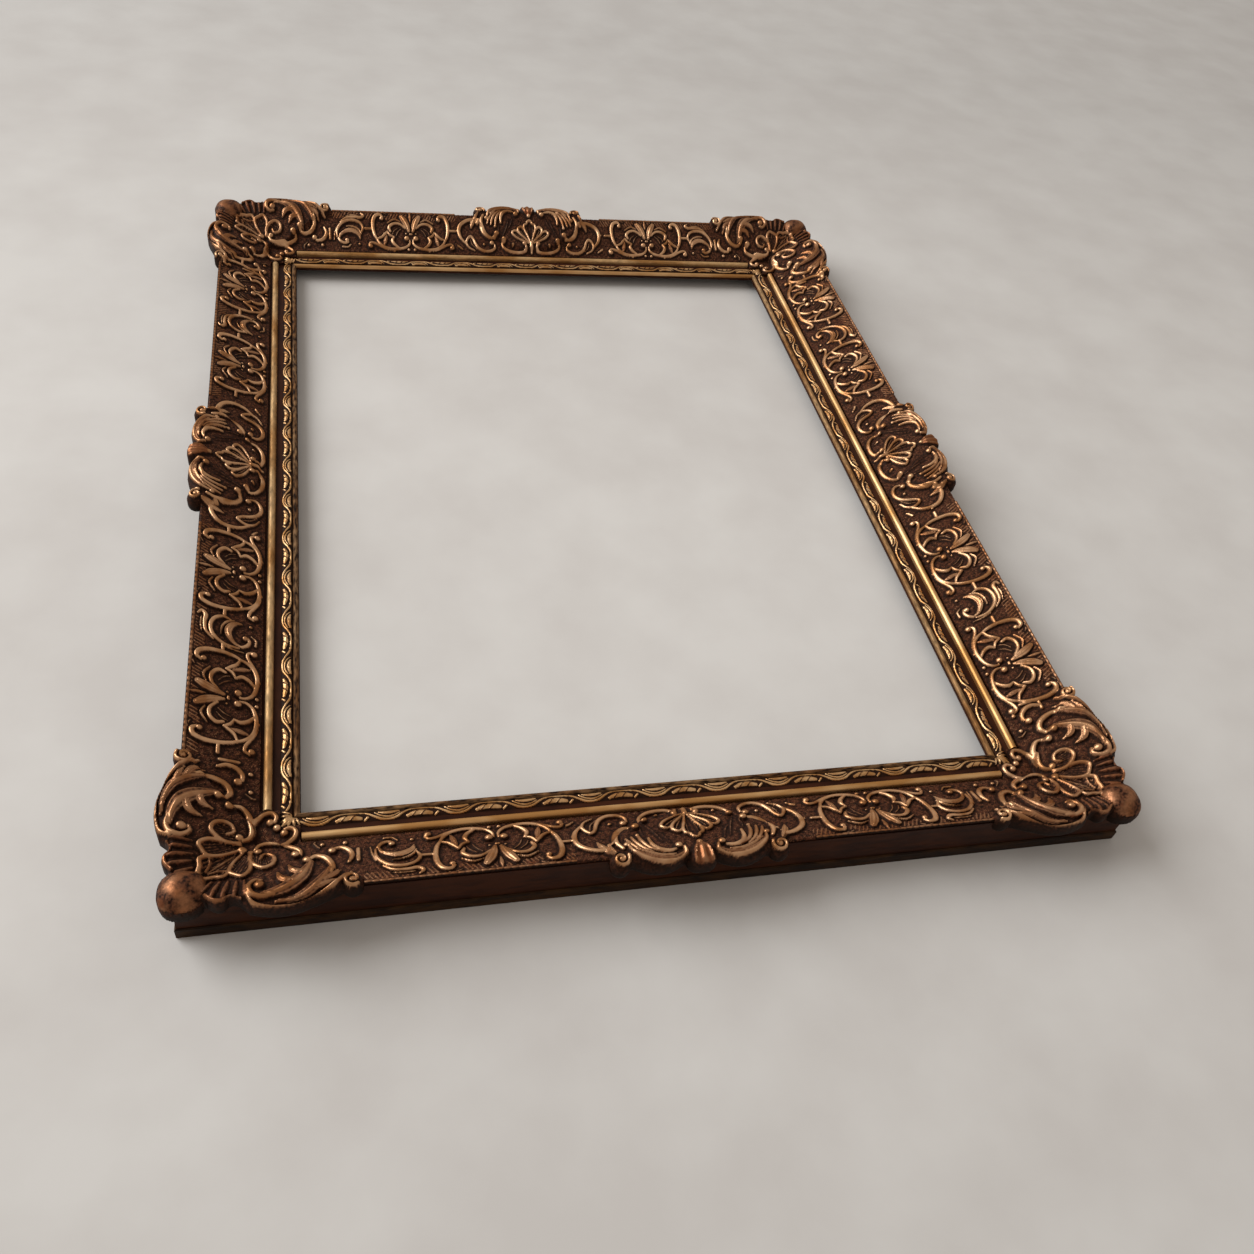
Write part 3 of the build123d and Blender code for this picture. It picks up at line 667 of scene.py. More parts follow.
def shell_object(name, carved, place, finish, flat_back=False):
    """A mesh object of one placed shell, with the relief's masks as attributes."""
    grid, top, back, relief = carved
    faces, back_points = shell_faces(grid, flat_back)
    if mirrored(place):
        faces = [face[::-1] for face in faces]
    x, y = place(grid.x, grid.y)
    upper = np.stack([x, y, top], -1)
    lower = np.stack([x, y, back], -1)[back_points]
    mesh = bpy.data.meshes.new(name)
    mesh.from_pydata((np.vstack([upper, lower]) * MM).tolist(), [], faces)
    # Painted shade: the back points take the full dark mask, so undersides come out darkest.
    for mask, below in (("gild", 0.0), ("copper", 0.0), ("recess", 1.0)):
        values = np.append(getattr(relief, mask), np.full(len(back_points), below))
        layer = mesh.attributes.new(mask, "FLOAT", "POINT")
        layer.data.foreach_set("value", values.astype(np.float32))
    mesh.shade_smooth()
    mesh.set_sharp_from_angle(angle=sharp_angle)
    mesh.materials.append(finish)
    return put(name, mesh)


def place_casting(node, carved, place, flat_back=False):
    """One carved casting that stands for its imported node."""
    piece = shell_object(node + "_carved", carved, place, casting_finish, flat_back)
    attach(piece, "frame")
    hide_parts(node)
    return piece


def ground_height(out):
    """Height of a casting's plain ground over the moulding's slope."""
    rise = (np.minimum(out, crest_outer) - field_inner) * slope_share
    return seat_low + rise + casting_thickness


def seat_height(out):
    """Height of the moulding's slope, which the castings lie on."""
    return seat_low + np.clip(out - field_inner, 0, None) * slope_share


def up_slope(out):
    """Distance up the slope from the field's inner edge."""
    return (out - field_inner) / slope_cos


print("castings can be placed")

# %% [markdown]
# The runs between the centre and the corners repeat two motifs. The large one is a pair of
# C scrolls, each breaking into a leaf, with long arms round a palmette. The small one is a
# nest of crescents. Each was drawn once from the frame: distance from its middle, up the slope.

# %% The large scroll motif
large_scroll = [
    line([(1.4, 13.5, 0.7), (1.8, 9.5, 1.1), (5, 5.6, 1.4), (11, 3.4, 1.6), (19, 3.0, 1.6),
          (26, 5.4, 1.5), (30.4, 10, 1.3), (32.3, 15, 0.9)]),
    line([(31.6, 14, 0.9), (27.3, 16, 1.3), (24.5, 19.3, 1.4), (22.3, 22.4, 0.9)], 2.4),
    line([(22.3, 22.4, 0.9), (20, 18.4, 1.2), (16, 16.3, 0.8)]),
    line([(16, 16.5, 0.8), (17.9, 12.5, 1.6), (16.2, 8.2, 1.6), (12, 4.4, 1.1)], 2.5),
    ball(4.3, 14.4, 2.6),
    line([(40.2, 6.6, 0.9), (38, 9.4, 1.3), (34, 8.9, 1.3), (29.5, 6.2, 1.1), (24, 3.2, 0.9),
          (16, 1.4, 0.6)], 2.0),
    ball(38.4, 5.2, 2.3),
    line([(26, 38.3, 1.1), (28.3, 40.8, 1.6), (32.3, 39.8, 1.9), (34.9, 34.5, 1.9), (35.4, 26, 1.7),
          (34, 18, 1.5), (31.6, 12.5, 1.0)], 2.4),
    ball(27, 36.4, 2.0),
    line([(35.4, 25.2, 1.2), (42.5, 25.2, 1.4)], 1.8, 0.8),
    line([(5, 26.6, 0.8), (10.4, 31.2, 1.3), (16.4, 31, 1.5), (20.4, 26.8, 1.6),
          (19.2, 22.8, 1.1)], 2.2),
    line([(9.6, 34.2, 0.5), (15, 36.2, 0.9), (21.6, 32.4, 0.6)], 1.9, 0.9, 0.2),
    plume([(1.9, 23.4, 1.4), (3.4, 29, 2.8), (5.8, 34.8, 3.3), (8.2, 39, 2.3)], 2.9),
    line([(0, 34, 0.5), (0.4, 39, 0.9), (0, 43.6, 0.5)], 1.5, 0.7, 0.4),
    vein([(9, 26.5, 0.5), (12.5, 22.5, 0.7), (14, 18.5, 0.4)]),
    vein([(12.5, 27, 0.5), (16.2, 23.5, 0.7), (17.6, 20, 0.4)]),
    plume([(25.4, 8, 1.0), (24.4, 12.6, 2.0), (23, 18.4, 0.9)], 1.7, 0.9, 0.4),
    ball(0.6, 20.4, 1.1),
    ball(4.6, 21.3, 0.8),
    ball(2.9, 2.9, 1.4),
    vein([(22, 42, 0.6), (25, 43.5, 0.9), (29.5, 43.4, 0.6)], 0.9),
]

# %% [markdown]
# The small motif fits between the large ones. It is a nest of crescents, with a plume inside
# the inner one and a curl at its foot.

# %% The crescent motif
crescents = [
    line([(-12.5, 15, 0.7), (-12.2, 22.5, 1.2), (-9, 28.6, 1.5), (-4, 32.6, 1.6), (3, 33.6, 1.5),
          (9, 31, 1.4), (11.6, 25.6, 1.2), (9.6, 20, 0.7)], 2.4),
    line([(-9, 31.8, 0.6), (-3.5, 36.4, 1.2), (4, 37.4, 1.4), (10, 37, 1.7), (12.6, 39.6, 1.3),
          (10.4, 42, 0.7)], 2.2),
    line([(-4, 39, 0.4), (2, 40, 0.7), (8, 39.6, 0.5)], 1.2, 0.7),
    plume([(-11, 12.6, 0.8), (-9.4, 17.4, 1.3), (-5.5, 20.8, 2.0), (-0.5, 22.4, 2.7),
           (4, 21.2, 2.7), (7.6, 18, 2.0), (8.8, 14.2, 0.8)], 2.5),
    line([(-3.5, 27, 0.5), (2.5, 26.6, 0.7), (7.6, 23.4, 0.8), (10, 18.6, 0.5)], 2.2),
    line([(-11.2, 13.4, 1.1), (-9, 10, 1.5), (-5.4, 8.5, 1.3), (-2.2, 9.6, 0.8)], 2.0),
    ball(-3.4, 11.2, 2.1),
    line([(-7.5, 4.6, 1.0), (-3, 4.4, 0.8), (0, 7.6, 0.5)], 1.4, 0.7),
    line([(-15.2, 12, 0.5), (-14.4, 19, 0.7), (-12.6, 26, 0.6)], 1.2, 0.7),
    ball(8, 8, 1.2),
]
print("motifs:", len(large_scroll), "and", len(crescents), "strokes")

# %% [markdown]
# The strips were glued on by hand, so the motifs don't sit at quite the same distance from
# the middle on every side. The table has the distances of the large scrolls, then of the
# crescents. A long side's last scroll reaches over the joint, onto the corner casting. Along
# the crest each strip ends in a scalloped line with a fringe below it.

# %% Scroll strips
strip_cell = 0.5
crest_width = 2.6
crest_pitch = 4.2
crest_rise = 0.9
crest_foot, crest_middle, crest_spread, crest_end = 0.3, 0.62, 0.5, 1.01
crest_gild, crest_copper = 0.8, 0.6
fringe_pitch = 2.7
fringe_rise = 0.55
fringe_gild = 0.7
fringe_least = 0.1
fringe_rows, fringe_slant = 2.4, 0.5
fringe_clear = (0.3, 0.8)
motif_middles = {
    "near_scroll_strip_1": ((113.5,), (169.0,)),
    "near_scroll_strip_2": ((119.0,), (173.0,)),
    "far_scroll_strip_1": ((118.5,), (174.0,)),
    "far_scroll_strip_2": ((115.5,), (172.0,)),
    "right_scroll_strip_1": ((118.5, 233.0), (174.0,)),
    "right_scroll_strip_2": ((121.0, 236.0), (176.0,)),
    "left_scroll_strip_1": ((123.0, 238.0), (181.0,)),
    "left_scroll_strip_2": ((112.5, 221.0), (167.0,)),
}


def carve_motifs(relief, strip, along, up):
    """The motifs of one strip; along is the distance from the middle of its side."""
    large, small = motif_middles[strip]
    for middle in large:
        relief.carve(large_scroll, np.abs(along - middle), up)
    for middle in small:
        relief.carve(crescents, middle - along, up)


def crest(relief):
    """The scalloped line along the crest, rubbed to copper, and a fringe below it."""
    up = (relief.y - field_width) / crest_width + 1
    lobe = np.abs(np.sin(relief.x * math.pi / crest_pitch))
    low = (up > crest_foot - crest_foot * lobe) & (up < crest_end)
    low &= relief.height < crest_rise
    bow = np.clip(1 - ((up - crest_middle) / crest_spread) ** 2, 0, 1) * (0.5 + 0.5 * lobe)
    # Painted shade, partly pooled paint: the dark mask fills the creases where the bow falls away.
    masks = {"gild": crest_gild * bow, "copper": crest_copper, "recess": 1 - bow}
    relief.set_where(low, height=np.maximum(relief.height, crest_rise * bow), **masks)
    lines = np.cos((relief.x + fringe_slant * relief.y) * 2 * math.pi / fringe_pitch)
    bare = (up <= 0) & (up > -fringe_rows) & (relief.height < fringe_least)
    fringe = np.clip(lines, 0, 1) * bare
    fringe *= 1 - smooth_step(*fringe_clear, relief.recess)
    relief.height += fringe_rise * fringe
    relief.gild = np.maximum(relief.gild, fringe_gild * fringe)
    relief.set_where(fringe > fringe_least, copper=crest_copper)


def everywhere(x, y):
    """The outline of a casting that fills its whole rectangle."""
    return np.ones_like(x)


def within(low, high, value):
    """Distance inside a range, which is negative outside it."""
    return np.minimum(value - low, high - value)


def make_strips():
    for side, axes in side_axes.items():
        run = (centre_half, axes.half_run - corner_arm)
        cells = cast_grid(run, (field_inner, crest_outer), strip_cell, everywhere)
        for number, direction in ((1, -1), (2, 1)):
            node = side + "_scroll_strip_" + str(number)
            relief = Relief(cells.x, up_slope(cells.y))
            carve_motifs(relief, node, relief.x, relief.y)
            crest(relief)
            relief.pebbles()
            top = ground_height(cells.y) + relief.height / slope_cos
            carved = cells, top, seat_height(cells.y), relief
            piece = place_casting(node, carved, side_place(side, direction), True)
        print(side, "strips:", len(piece.data.polygons), "faces each")


make_strips()

# %% [markdown]
# The thick castings at the middles and corners hang over the crest as rounded lips. Their
# plan is a few arcs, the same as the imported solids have. Where the work leaves the slope, the
# top rolls over at the outline and the underside curls up to meet it.

# %% Overhanging lips
casting_lift = 3.0 / slope_cos
lift_edge = 2.0
past_lift = 2.0
overhang_depth = 7.5
overhang_drop = 1.6
top_roll = 3.2
under_roll = 4.0
roll_blend = 1.0
snap_reach = 0.4
arc_steps = 7
bare_width, bare_copper, bare_recess, lost_gild = 1.3, 0.8, 0.5, 0.75
volute_radius = 6.2
volute_inset = 1.3
volute_turn = -8.6
volute_core = 0.2
volute_half, volute_taper = 1.2, 0.5
volute_steps = 22
volute_eye = 1.5


def edge_distance_of(outline, x, y):
    """Distance to a closed outline of (x, y) points, positive inside it."""
    corners = np.array(outline, float)
    closed = np.hstack([np.vstack([corners, corners[:1]]), np.ones((len(corners) + 1, 1))])
    away = nearest_on_path(closed, x, y)[0]
    inside = np.zeros(len(x), bool)
    for (x0, y0), (x1, y1) in zip(closed[:-1, :2], closed[1:, :2]):
        if y0 != y1:
            cross = x0 + (y - y0) * (x1 - x0) / (y1 - y0)
            inside ^= ((y0 > y) != (y1 > y)) & (x < cross)
    return np.where(inside, away, -away)


def through_arcs(points):
    """A curve through the points, in arcs that each take in three of them."""
    points = np.array(points)
    t = np.linspace(0, 1, arc_steps, endpoint=False)[:, None]
    curves = []
    for a, b, c in zip(points[:-2:2], points[1::2], points[2::2]):
        curves.append(a * (1 - t) * (1 - 2 * t) + 4 * b * t * (1 - t) + c * t * (2 * t - 1))
    return np.vstack([*curves, points[-1:]])


def rolled(edge, radius):
    """How far a surface falls within a radius of its edge, as a quarter round."""
    inward = radius - np.clip(edge, 0, radius)
    return radius - np.sqrt(np.clip(radius**2 - inward**2, 0, None))


def snapped_edge(grid, edge_distance):
    """The outline's distance, with the grid's own border at exactly zero."""
    edge = edge_distance(grid.x, grid.y)
    rim = np.unique(grid.border)
    edge[rim] = np.where(np.abs(edge[rim]) < snap_reach, 0.0, edge[rim])
    return edge


def lip_top(out, edge):
    """Ground height, lifted and rolled where the work hangs past the crest."""
    past = np.clip(out - crest_outer, 0, None)
    droop = overhang_drop * (past / (overhang_outer - crest_outer)) ** 2
    hanging = smooth_step(crest_outer - roll_blend, crest_outer + roll_blend, out)
    return ground_height(out) - droop - hanging * rolled(edge, top_roll)


def bare_and_shaded_lip(relief, out, edge):
    """Almost no metal on the outer face of a lip, only a breath of copper, and painted shade on
    that face, which hangs down away from the light.
    """
    bare = (out > crest_outer) * (1 - smooth_step(0, bare_width, edge))
    relief.gild *= 1 - lost_gild * bare
    relief.copper = np.maximum(relief.copper, bare_copper * bare)
    relief.recess = np.maximum(relief.recess, bare_recess * bare)


def lip_back(out, edge):
    """The seat on the slope, and the curled underside beyond the moulding."""
    under = moulding_top - overhang_depth + rolled(edge, under_roll)
    return np.where(out > moulding_outer, under, seat_height(out))


def over_crest(grid, relief, out, raised, outline):
    """Top, back and distance from the edge of a casting that hangs over the crest."""
    edge = snapped_edge(grid, outline)
    bare_and_shaded_lip(relief, out, edge)
    past = np.clip(out - crest_outer, 0, None)
    lift = smooth_step(0, lift_edge, raised(grid.x, grid.y) + past_lift * past) * casting_lift
    return lip_top(out, edge) + lift, lip_back(out, edge), edge


def volute(x, y, start, rise):
    """A spiral line that winds in round an eye; start is the angle where it begins."""
    rows = []
    for k in range(volute_steps):
        t = k / (volute_steps - 1)
        r = (volute_radius - volute_inset) * (1 - (1 - volute_core) * t)
        angle = start + volute_turn * t
        half = volute_half - volute_taper * t
        rows.append((x + r * math.cos(angle), y + r * math.sin(angle), half))
    return [line(rows, rise), ball(x, y, volute_eye)]


print("lip rolls", top_roll, "and", under_roll, "mm")

# %% [markdown]
# The ornament at the middle of each side is a shell between scrolls, under a pair of large
# leaves that curl over the crest and end in volutes. Places are the distance from the middle
# and the distance up the slope, and both halves are the same.

# %% Centre ornament
centre_cell = 0.6
centre_volute = (47.5, 67.0)
centre_curl = (3.6, 2.2)
centre_outline_shares = [
    (0.00, 1.18), (0.09, 1.16), (0.13, 1.08), (0.34, 1.16), (0.55, 1.08), (0.68, 1.04),
    (0.76, 0.92), (0.62, 0.70), (0.52, 0.62), (0.26, 0.46), (0.00, 0.40),
]
shell_and_scrolls = [
    line([(0.8, 12, 0.7), (3.2, 19.5, 1.0), (5.6, 27, 1.1), (5.2, 31.2, 1.1), (2.8, 32.6, 1.0),
          (2.2, 34.8, 1.0), (0, 36.4, 1.1)]),
    line([(1.6, 11.6, 0.7), (6.2, 16.4, 1.0), (10.8, 21.6, 1.2), (11.8, 26.4, 1.3), (8.6, 29, 1.2),
          (6.2, 26.4, 0.8)]),
    line([(2.4, 10.8, 0.7), (10, 14, 1.0), (15.8, 18, 1.2), (17.8, 22, 1.2), (14.8, 24.6, 1.0),
          (12, 22.6, 0.6)]),
    vein([(1.2, 15, 0.4), (2.6, 23, 0.6), (2.8, 30, 0.4)], 1.0),
    vein([(3.2, 15, 0.4), (7, 20.5, 0.7), (9.4, 25.2, 0.5)], 1.0),
    vein([(5.4, 13.8, 0.4), (11, 18, 0.7), (15, 21.2, 0.5)], 1.0),
    line([(0, 2.4, 0.8), (0, 6, 1.7), (0, 10.4, 1.9)], 2.6),
    line([(5.4, 8.4, 0.9), (5.5, 5, 1.4), (9.2, 2.9, 1.8), (15.4, 2.4, 1.9), (22, 4, 1.8),
          (27, 8, 1.4), (28.4, 12, 1.1)], 2.4),
    ball(6.7, 9.6, 2.3),
    ball(26.6, 13.8, 2.5),
    line([(35.6, 11, 0.9), (35.9, 6.8, 1.3), (40, 3.6, 1.6), (46, 3.2, 1.7), (51, 6, 1.7),
          (54, 11, 1.5), (56, 16.6, 1.3), (58.6, 19.6, 1.4), (61.4, 17, 1.3), (63, 12.5, 1.2),
          (60.8, 7.5, 0.9), (55.5, 4.2, 0.6)], 2.4),
    ball(38.3, 12.4, 2.4),
    vein([(58.8, 16.5, 0.5), (57.5, 11, 0.8), (53, 5.6, 0.5)], 1.1),
    line([(52, 37, 1.1), (56, 38.4, 1.8), (62, 36.6, 2.0), (67.6, 32, 2.0), (69.6, 25.6, 1.9),
          (68.2, 18, 1.6), (63.8, 11.6, 1.0)], 2.5),
    ball(50.8, 34.6, 2.2),
    line([(69.6, 25.2, 1.2), (74, 25.2, 1.4)], 1.8, 0.8),
    line([(74, 9.6, 1.2), (71, 8.6, 1.0), (67, 5.6, 0.6)], 1.8),
    line([(34.8, 18.2, 1.2), (39.5, 18.4, 1.9), (44, 22, 2.1), (47, 28.6, 1.8), (47.4, 35.4, 1.6),
          (45, 41, 1.3)], 2.6),
    ball(33.3, 20, 2.7),
    leaf([(41.6, 40, 0.9), (38.4, 45, 2.2), (32, 49.2, 3.0), (23.6, 51.8, 3.3), (15.4, 51.4, 2.8),
          (10.4, 48.4, 1.6)]),
    line([(41.2, 39.6, 0.9), (39.4, 45.4, 1.3), (33, 51, 1.6), (23.6, 54.2, 1.7), (14.4, 53.6, 1.6),
          (9.6, 49.6, 1.4), (10.2, 45, 1.0)], 3.2, 1.0, 0.2),
    line([(38, 43, 0.6), (31, 47.6, 1.0), (23, 50.4, 1.1), (16.4, 50, 0.7)], 3.1, 0.9, 0.3),
    ball(42.2, 37.6, 2.0),
    ball(12.9, 43, 2.5),
    line([(28.2, 33, 0.9), (27.8, 39.4, 1.5), (25, 44.8, 1.8), (19.6, 47.2, 1.6),
          (15.2, 46, 0.9)], 2.4),
    line([(23.4, 47.6, 0.6), (29.4, 43.2, 1.2), (32.8, 36.4, 1.4), (33.8, 30, 0.8)], 2.4, 0.9, 0.3),
    line([(27.4, 48, 0.6), (33.4, 42.4, 1.2), (36.8, 35.8, 1.3), (38, 30.6, 0.8)], 2.3, 0.9, 0.3),
    line([(32.6, 46.4, 0.6), (37.4, 41, 1.1), (40.4, 35.4, 1.2), (41.6, 31.8, 0.7)], 2.2, 0.9, 0.3),
    ball(34, 28.8, 1.4),
    plume([(50.4, 44, 1.4), (53.2, 39.4, 2.4), (56, 34, 2.2), (57.4, 29.6, 0.8)], 2.6),
    vein([(20.5, 37, 0.4), (23.5, 27, 0.8), (27.6, 17.5, 0.5)], 0.9, 0.35),
    vein([(16.4, 38.5, 0.4), (19, 31, 0.7), (22, 26.6, 0.4)], 0.8, 0.3),
    vein([(30.2, 30.5, 0.4), (31, 25.5, 0.7), (30.4, 21, 0.4)], 0.9, 0.35),
    ball(18, 9.5, 1.3),
    ball(46, 11.4, 1.3),
    plume([(0, 42, 2.4), (0, 47, 5.6), (0, 53, 7.0), (0, 57.4, 7.2)], 3.6, 0.9, 0.7),
    vein([(3, 45, 0.5), (4.4, 50, 0.9), (5.2, 56, 0.7)], 3.9, 1.0, 0.4),
    ball(0, 41.4, 2.0),
]


def centre_edges():
    """The outline as a distance that is positive inside: slope part, lips and volutes."""
    arcs = through_arcs(centre_outline_shares) * (centre_half, crest_outer)
    outline = np.vstack([arcs, (arcs * (-1, 1))[::-1][1:-1]])

    def raised(x, y):
        from_eye = np.hypot(np.abs(x) - centre_volute[0], y - centre_volute[1])
        return np.maximum(edge_distance_of(outline, x, y), volute_radius - from_eye)

    def whole(x, y):
        slope = np.minimum(centre_half - np.abs(x), within(field_inner, crest_outer, y))
        return np.maximum(slope, raised(x, y))

    return raised, whole


def carve_centre():
    raised, whole = centre_edges()
    x_range = (-centre_half, centre_half)
    grid = cast_grid(x_range, (field_inner, overhang_outer), centre_cell, whole)
    relief = Relief(np.abs(grid.x), up_slope(grid.y))
    relief.carve(shell_and_scrolls)
    relief.carve(volute(centre_volute[0], up_slope(centre_volute[1]), *centre_curl))
    relief.pebbles()
    top, back, _ = over_crest(grid, relief, grid.y, raised, whole)
    return grid, top + relief.height / slope_cos, back, relief


carved = carve_centre()
for side in side_axes:
    piece = place_casting(side + "_centre_ornament", carved, side_place(side))
print("centre ornaments:", len(piece.data.polygons), "faces each")

# %% [markdown]
# The corner casting is the richest: acanthus leaves wrap a volute on each arm, veined petals
# open on the mitre, small scrolls point into the sight corner, and a smooth copper knob caps
# the outer tip. It is drawn for one arm and folded over the mitre, so both arms match.

# %% Corner drawing
tip_scrolls = [
    line([(-0.6, 36, 1.0), (0, 31.6, 1.6), (5, 27.8, 2.0), (11, 26.2, 2.0), (17, 25.4, 1.8),
          (21.6, 26.8, 1.5), (23.6, 30, 1.1)], 3.0),
    ball(1.8, 37.2, 2.8),
    ball(21.8, 31.8, 2.3),
    line([(11, 26, 1.8), (6.4, 23.2, 1.8), (3, 19.5, 1.6), (2.4, 15.6, 1.5), (5, 13.2, 1.4),
          (8.4, 13.8, 1.1)], 2.8),
    ball(8.6, 16.4, 2.3),
    ball(12.6, 12.6, 2.3),
    line([(-4.4, 40.6, 1.3), (-8.6, 37.8, 1.9), (-13.6, 39.6, 2.1), (-16.9, 45, 2.0),
          (-17.9, 51, 1.6), (-17, 55.4, 0.9)], 2.8),
    ball(-4.4, 43, 2.7),
    line([(-19, 31.8, 1.1), (-22.8, 31.8, 1.6), (-26.8, 35, 1.8), (-28.2, 40, 1.6),
          (-26.4, 45, 1.0)], 2.5),
    ball(-17.4, 34, 2.5),
    vein([(-10.6, 30, 0.6), (-7.6, 26, 1.0), (-8.2, 24, 0.5)], 1.4),
    ball(-12, 27.2, 1.4),
    ball(-24.5, 27.4, 1.5),
    line([(-31.6, 34, 1.3), (-31.6, 44, 1.4)], 1.6, 0.7),
]
acanthus = [
    leaf([(18, 66.8, 1.5), (11, 66, 2.8), (4, 62.8, 4.0), (-1.4, 57, 4.2), (-4.8, 49.6, 2.8),
          (-7, 42, 0.8)], 3.4, 1.0, 0.35),
    leaf([(11, 71.6, 1.0), (2, 71, 1.8), (-6, 67.4, 2.8), (-11.6, 61.4, 3.0), (-15, 55, 2.2),
          (-16.4, 49.4, 0.7)], 3.1, 1.0, 0.45),
    line([(25.8, 65.8, 0.9), (22.4, 71.4, 1.3), (16, 74.2, 1.5), (8, 75.2, 1.5), (0, 74.6, 1.5),
          (-8, 72, 1.5), (-16, 67.4, 1.5), (-22.4, 61.4, 1.3), (-27.6, 54.8, 0.9)],
         3.4, 1.0, 0.3),
    plume([(-2.8, 53, 2.0), (2.6, 51, 2.4), (5.2, 45.8, 0.7)], 3.0, 1.0, 0.35),
    plume([(2, 59.4, 2.2), (8.2, 57, 2.5), (11, 51, 0.7)], 3.0, 1.0, 0.35),
    plume([(-13.6, 60.6, 1.8), (-19.2, 57.2, 2.1), (-21.8, 51.6, 0.6)], 2.8, 1.0, 0.4),
    plume([(-8.8, 66, 1.6), (-15, 63.6, 1.8), (-20, 61.2, 0.5)], 2.8, 1.0, 0.4),
    ball(19.6, 60.4, 2.9, 0.3),
    line([(12, 67.6, 0.9), (18, 68.4, 1.6), (23.4, 66, 1.8), (25, 60.6, 1.6), (22, 56.4, 1.3),
          (18.4, 57, 0.8)], 3.3, 1.0, 0.3),
]
petals = [
    line([(25, 31.4, 1.0), (26, 37.4, 1.3), (22.8, 43.2, 1.5), (18.2, 46.2, 1.5), (14, 44.2, 1.5),
          (12.8, 40, 1.4), (14.4, 36, 1.2), (18.6, 34.8, 1.0), (20.4, 38, 0.9)], 2.7, 1.0, 0.25),
    line([(26.4, 31.4, 1.0), (25.2, 40, 1.3), (25.4, 47.4, 1.5), (28.6, 51.6, 1.5), (32, 50.2, 1.4),
          (35.6, 47.2, 1.5), (34.6, 40.4, 1.2), (30, 32, 0.9)], 2.6, 1.0, 0.3),
    line([(36, 47.2, 1.2), (38.4, 50.8, 1.5), (43, 50.6, 1.5), (47, 51.2, 1.5), (50, 50, 1.5)],
         2.6, 1.0, 0.3),
    line([(35.6, 46.6, 0.6), (41, 45.8, 0.9), (46, 47.6, 0.9)], 1.8, 0.6, 0.5),
    ball(30, 30, 2.6),
    vein([(33.6, 33.6, 0.6), (40, 40, 1.1), (46.4, 46.4, 0.7)], 1.8, 0.5),
]
fan = [
    line([(27.4, 55, 0.6), (27, 61, 1.1), (26.8, 66, 1.0)], 1.8, 0.5, 0.8),
    line([(31.4, 55, 0.7), (31.6, 61, 1.4), (31.8, 65.4, 1.2)], 2.0, 0.5, 0.8),
    line([(35.6, 54.6, 0.7), (36.6, 60.4, 1.5), (37.6, 66, 1.4)], 2.0, 0.5, 0.8),
    line([(39.8, 54.4, 0.7), (41.8, 60, 1.5), (43.2, 65.2, 1.2)], 2.0, 0.5, 0.8),
    line([(44, 54, 0.7), (46.4, 58.2, 1.2), (47.8, 61.6, 0.9)], 1.8, 0.5, 0.8),
    line([(28.8, 67.6, 0.9), (34, 66, 1.2), (38, 68.2, 1.4), (42.6, 67.4, 1.3),
          (46.4, 64, 1.0)], 2.6, 0.9, 0.7),
]
petal_hatch = [
    [(25.6, 32), (26, 38), (22.6, 43.4), (18, 46), (14, 44), (13, 40), (15, 36), (19, 34)],
    [(27, 32), (25.4, 40), (25.6, 47), (28.8, 51), (32, 50), (35.4, 47), (34.4, 40.6), (30, 32)],
    [(31, 31), (35, 40), (36.6, 46.4), (39, 50), (50, 50)],
]
print("corner drawing:", len(tip_scrolls + acanthus + petals + fan), "strokes")

# %% [markdown]
# The corner's outline is again a row of arcs. Its knob is a ball that is a little square in
# plan. It rises out of the outer tip and reaches past it, so there the shell is all knob.

# %% Corner ornament
corner_cell = 0.6
corner_volute = (-28.1, 61.9)
knob_place = 58.5
knob_radius = 12.5
knob_height = 30.0
knob_fullness = 2.5
knob_copper, knob_rim = 0.8, (0.8, 1)
knob_gild, patina_gild = 0.28, 0.34
patina_along, patina_sway, patina_across = 0.45, 1.8, 0.3
tip_rise = 2.6
tip_overlap = 5
drawing_margin = 5.5
corner_curl = (2.2, 2.4)
corner_outline_shares = [
    (0.88, 0.88), (0.81, 1.01), (0.73, 1.03), (0.63, 1.09), (0.55, 1.04), (0.48, 1.05),
    (0.40, 1.13), (0.14, 1.18), (-0.10, 1.13), (-0.24, 1.08), (-0.37, 1.02), (-0.40, 0.90),
    (-0.30, 0.80), (-0.10, 0.64), (0.06, 0.50), (0.20, 0.38), (0.36, 0.36),
]
hatch_origin = (22, 22)
hatch_rays = 90
hatch_rise = 0.3
hatch_gild, hatch_edge = 0.35, (0.5, 0.9)


def folded(x, y):
    """The distances along and out, folded over the mitre so that the arms are the same."""
    return np.minimum(x, y), np.maximum(x, y)


def knob_edge(x, y):
    """Positive inside the knob, whose plan is a circle drawn a little square."""
    a, b = np.abs(x - knob_place), np.abs(y - knob_place)
    return knob_radius - (a**knob_fullness + b**knob_fullness) ** (1 / knob_fullness)


def corner_edges():
    """Signed distances of the corner casting: its lifted work, all but the knob, and all."""
    arcs = through_arcs(corner_outline_shares) * crest_outer
    outline = np.vstack([arcs, arcs[::-1, ::-1][1:-1]])

    def raised(x, y):
        along, out = folded(x, y)
        from_eye = np.hypot(along - corner_volute[0], out - corner_volute[1])
        return np.maximum(edge_distance_of(outline, x, y), volute_radius - from_eye)

    def body(x, y):
        along, out = folded(x, y)
        arm = np.minimum(along + corner_arm, within(field_inner, crest_outer, out))
        tip = np.minimum(along, within(band_outer, field_inner + tip_overlap, out))
        return np.maximum(np.maximum(arm, tip), raised(x, y))

    def whole(x, y):
        return np.maximum(body(x, y), knob_edge(x, y))

    return raised, body, whole


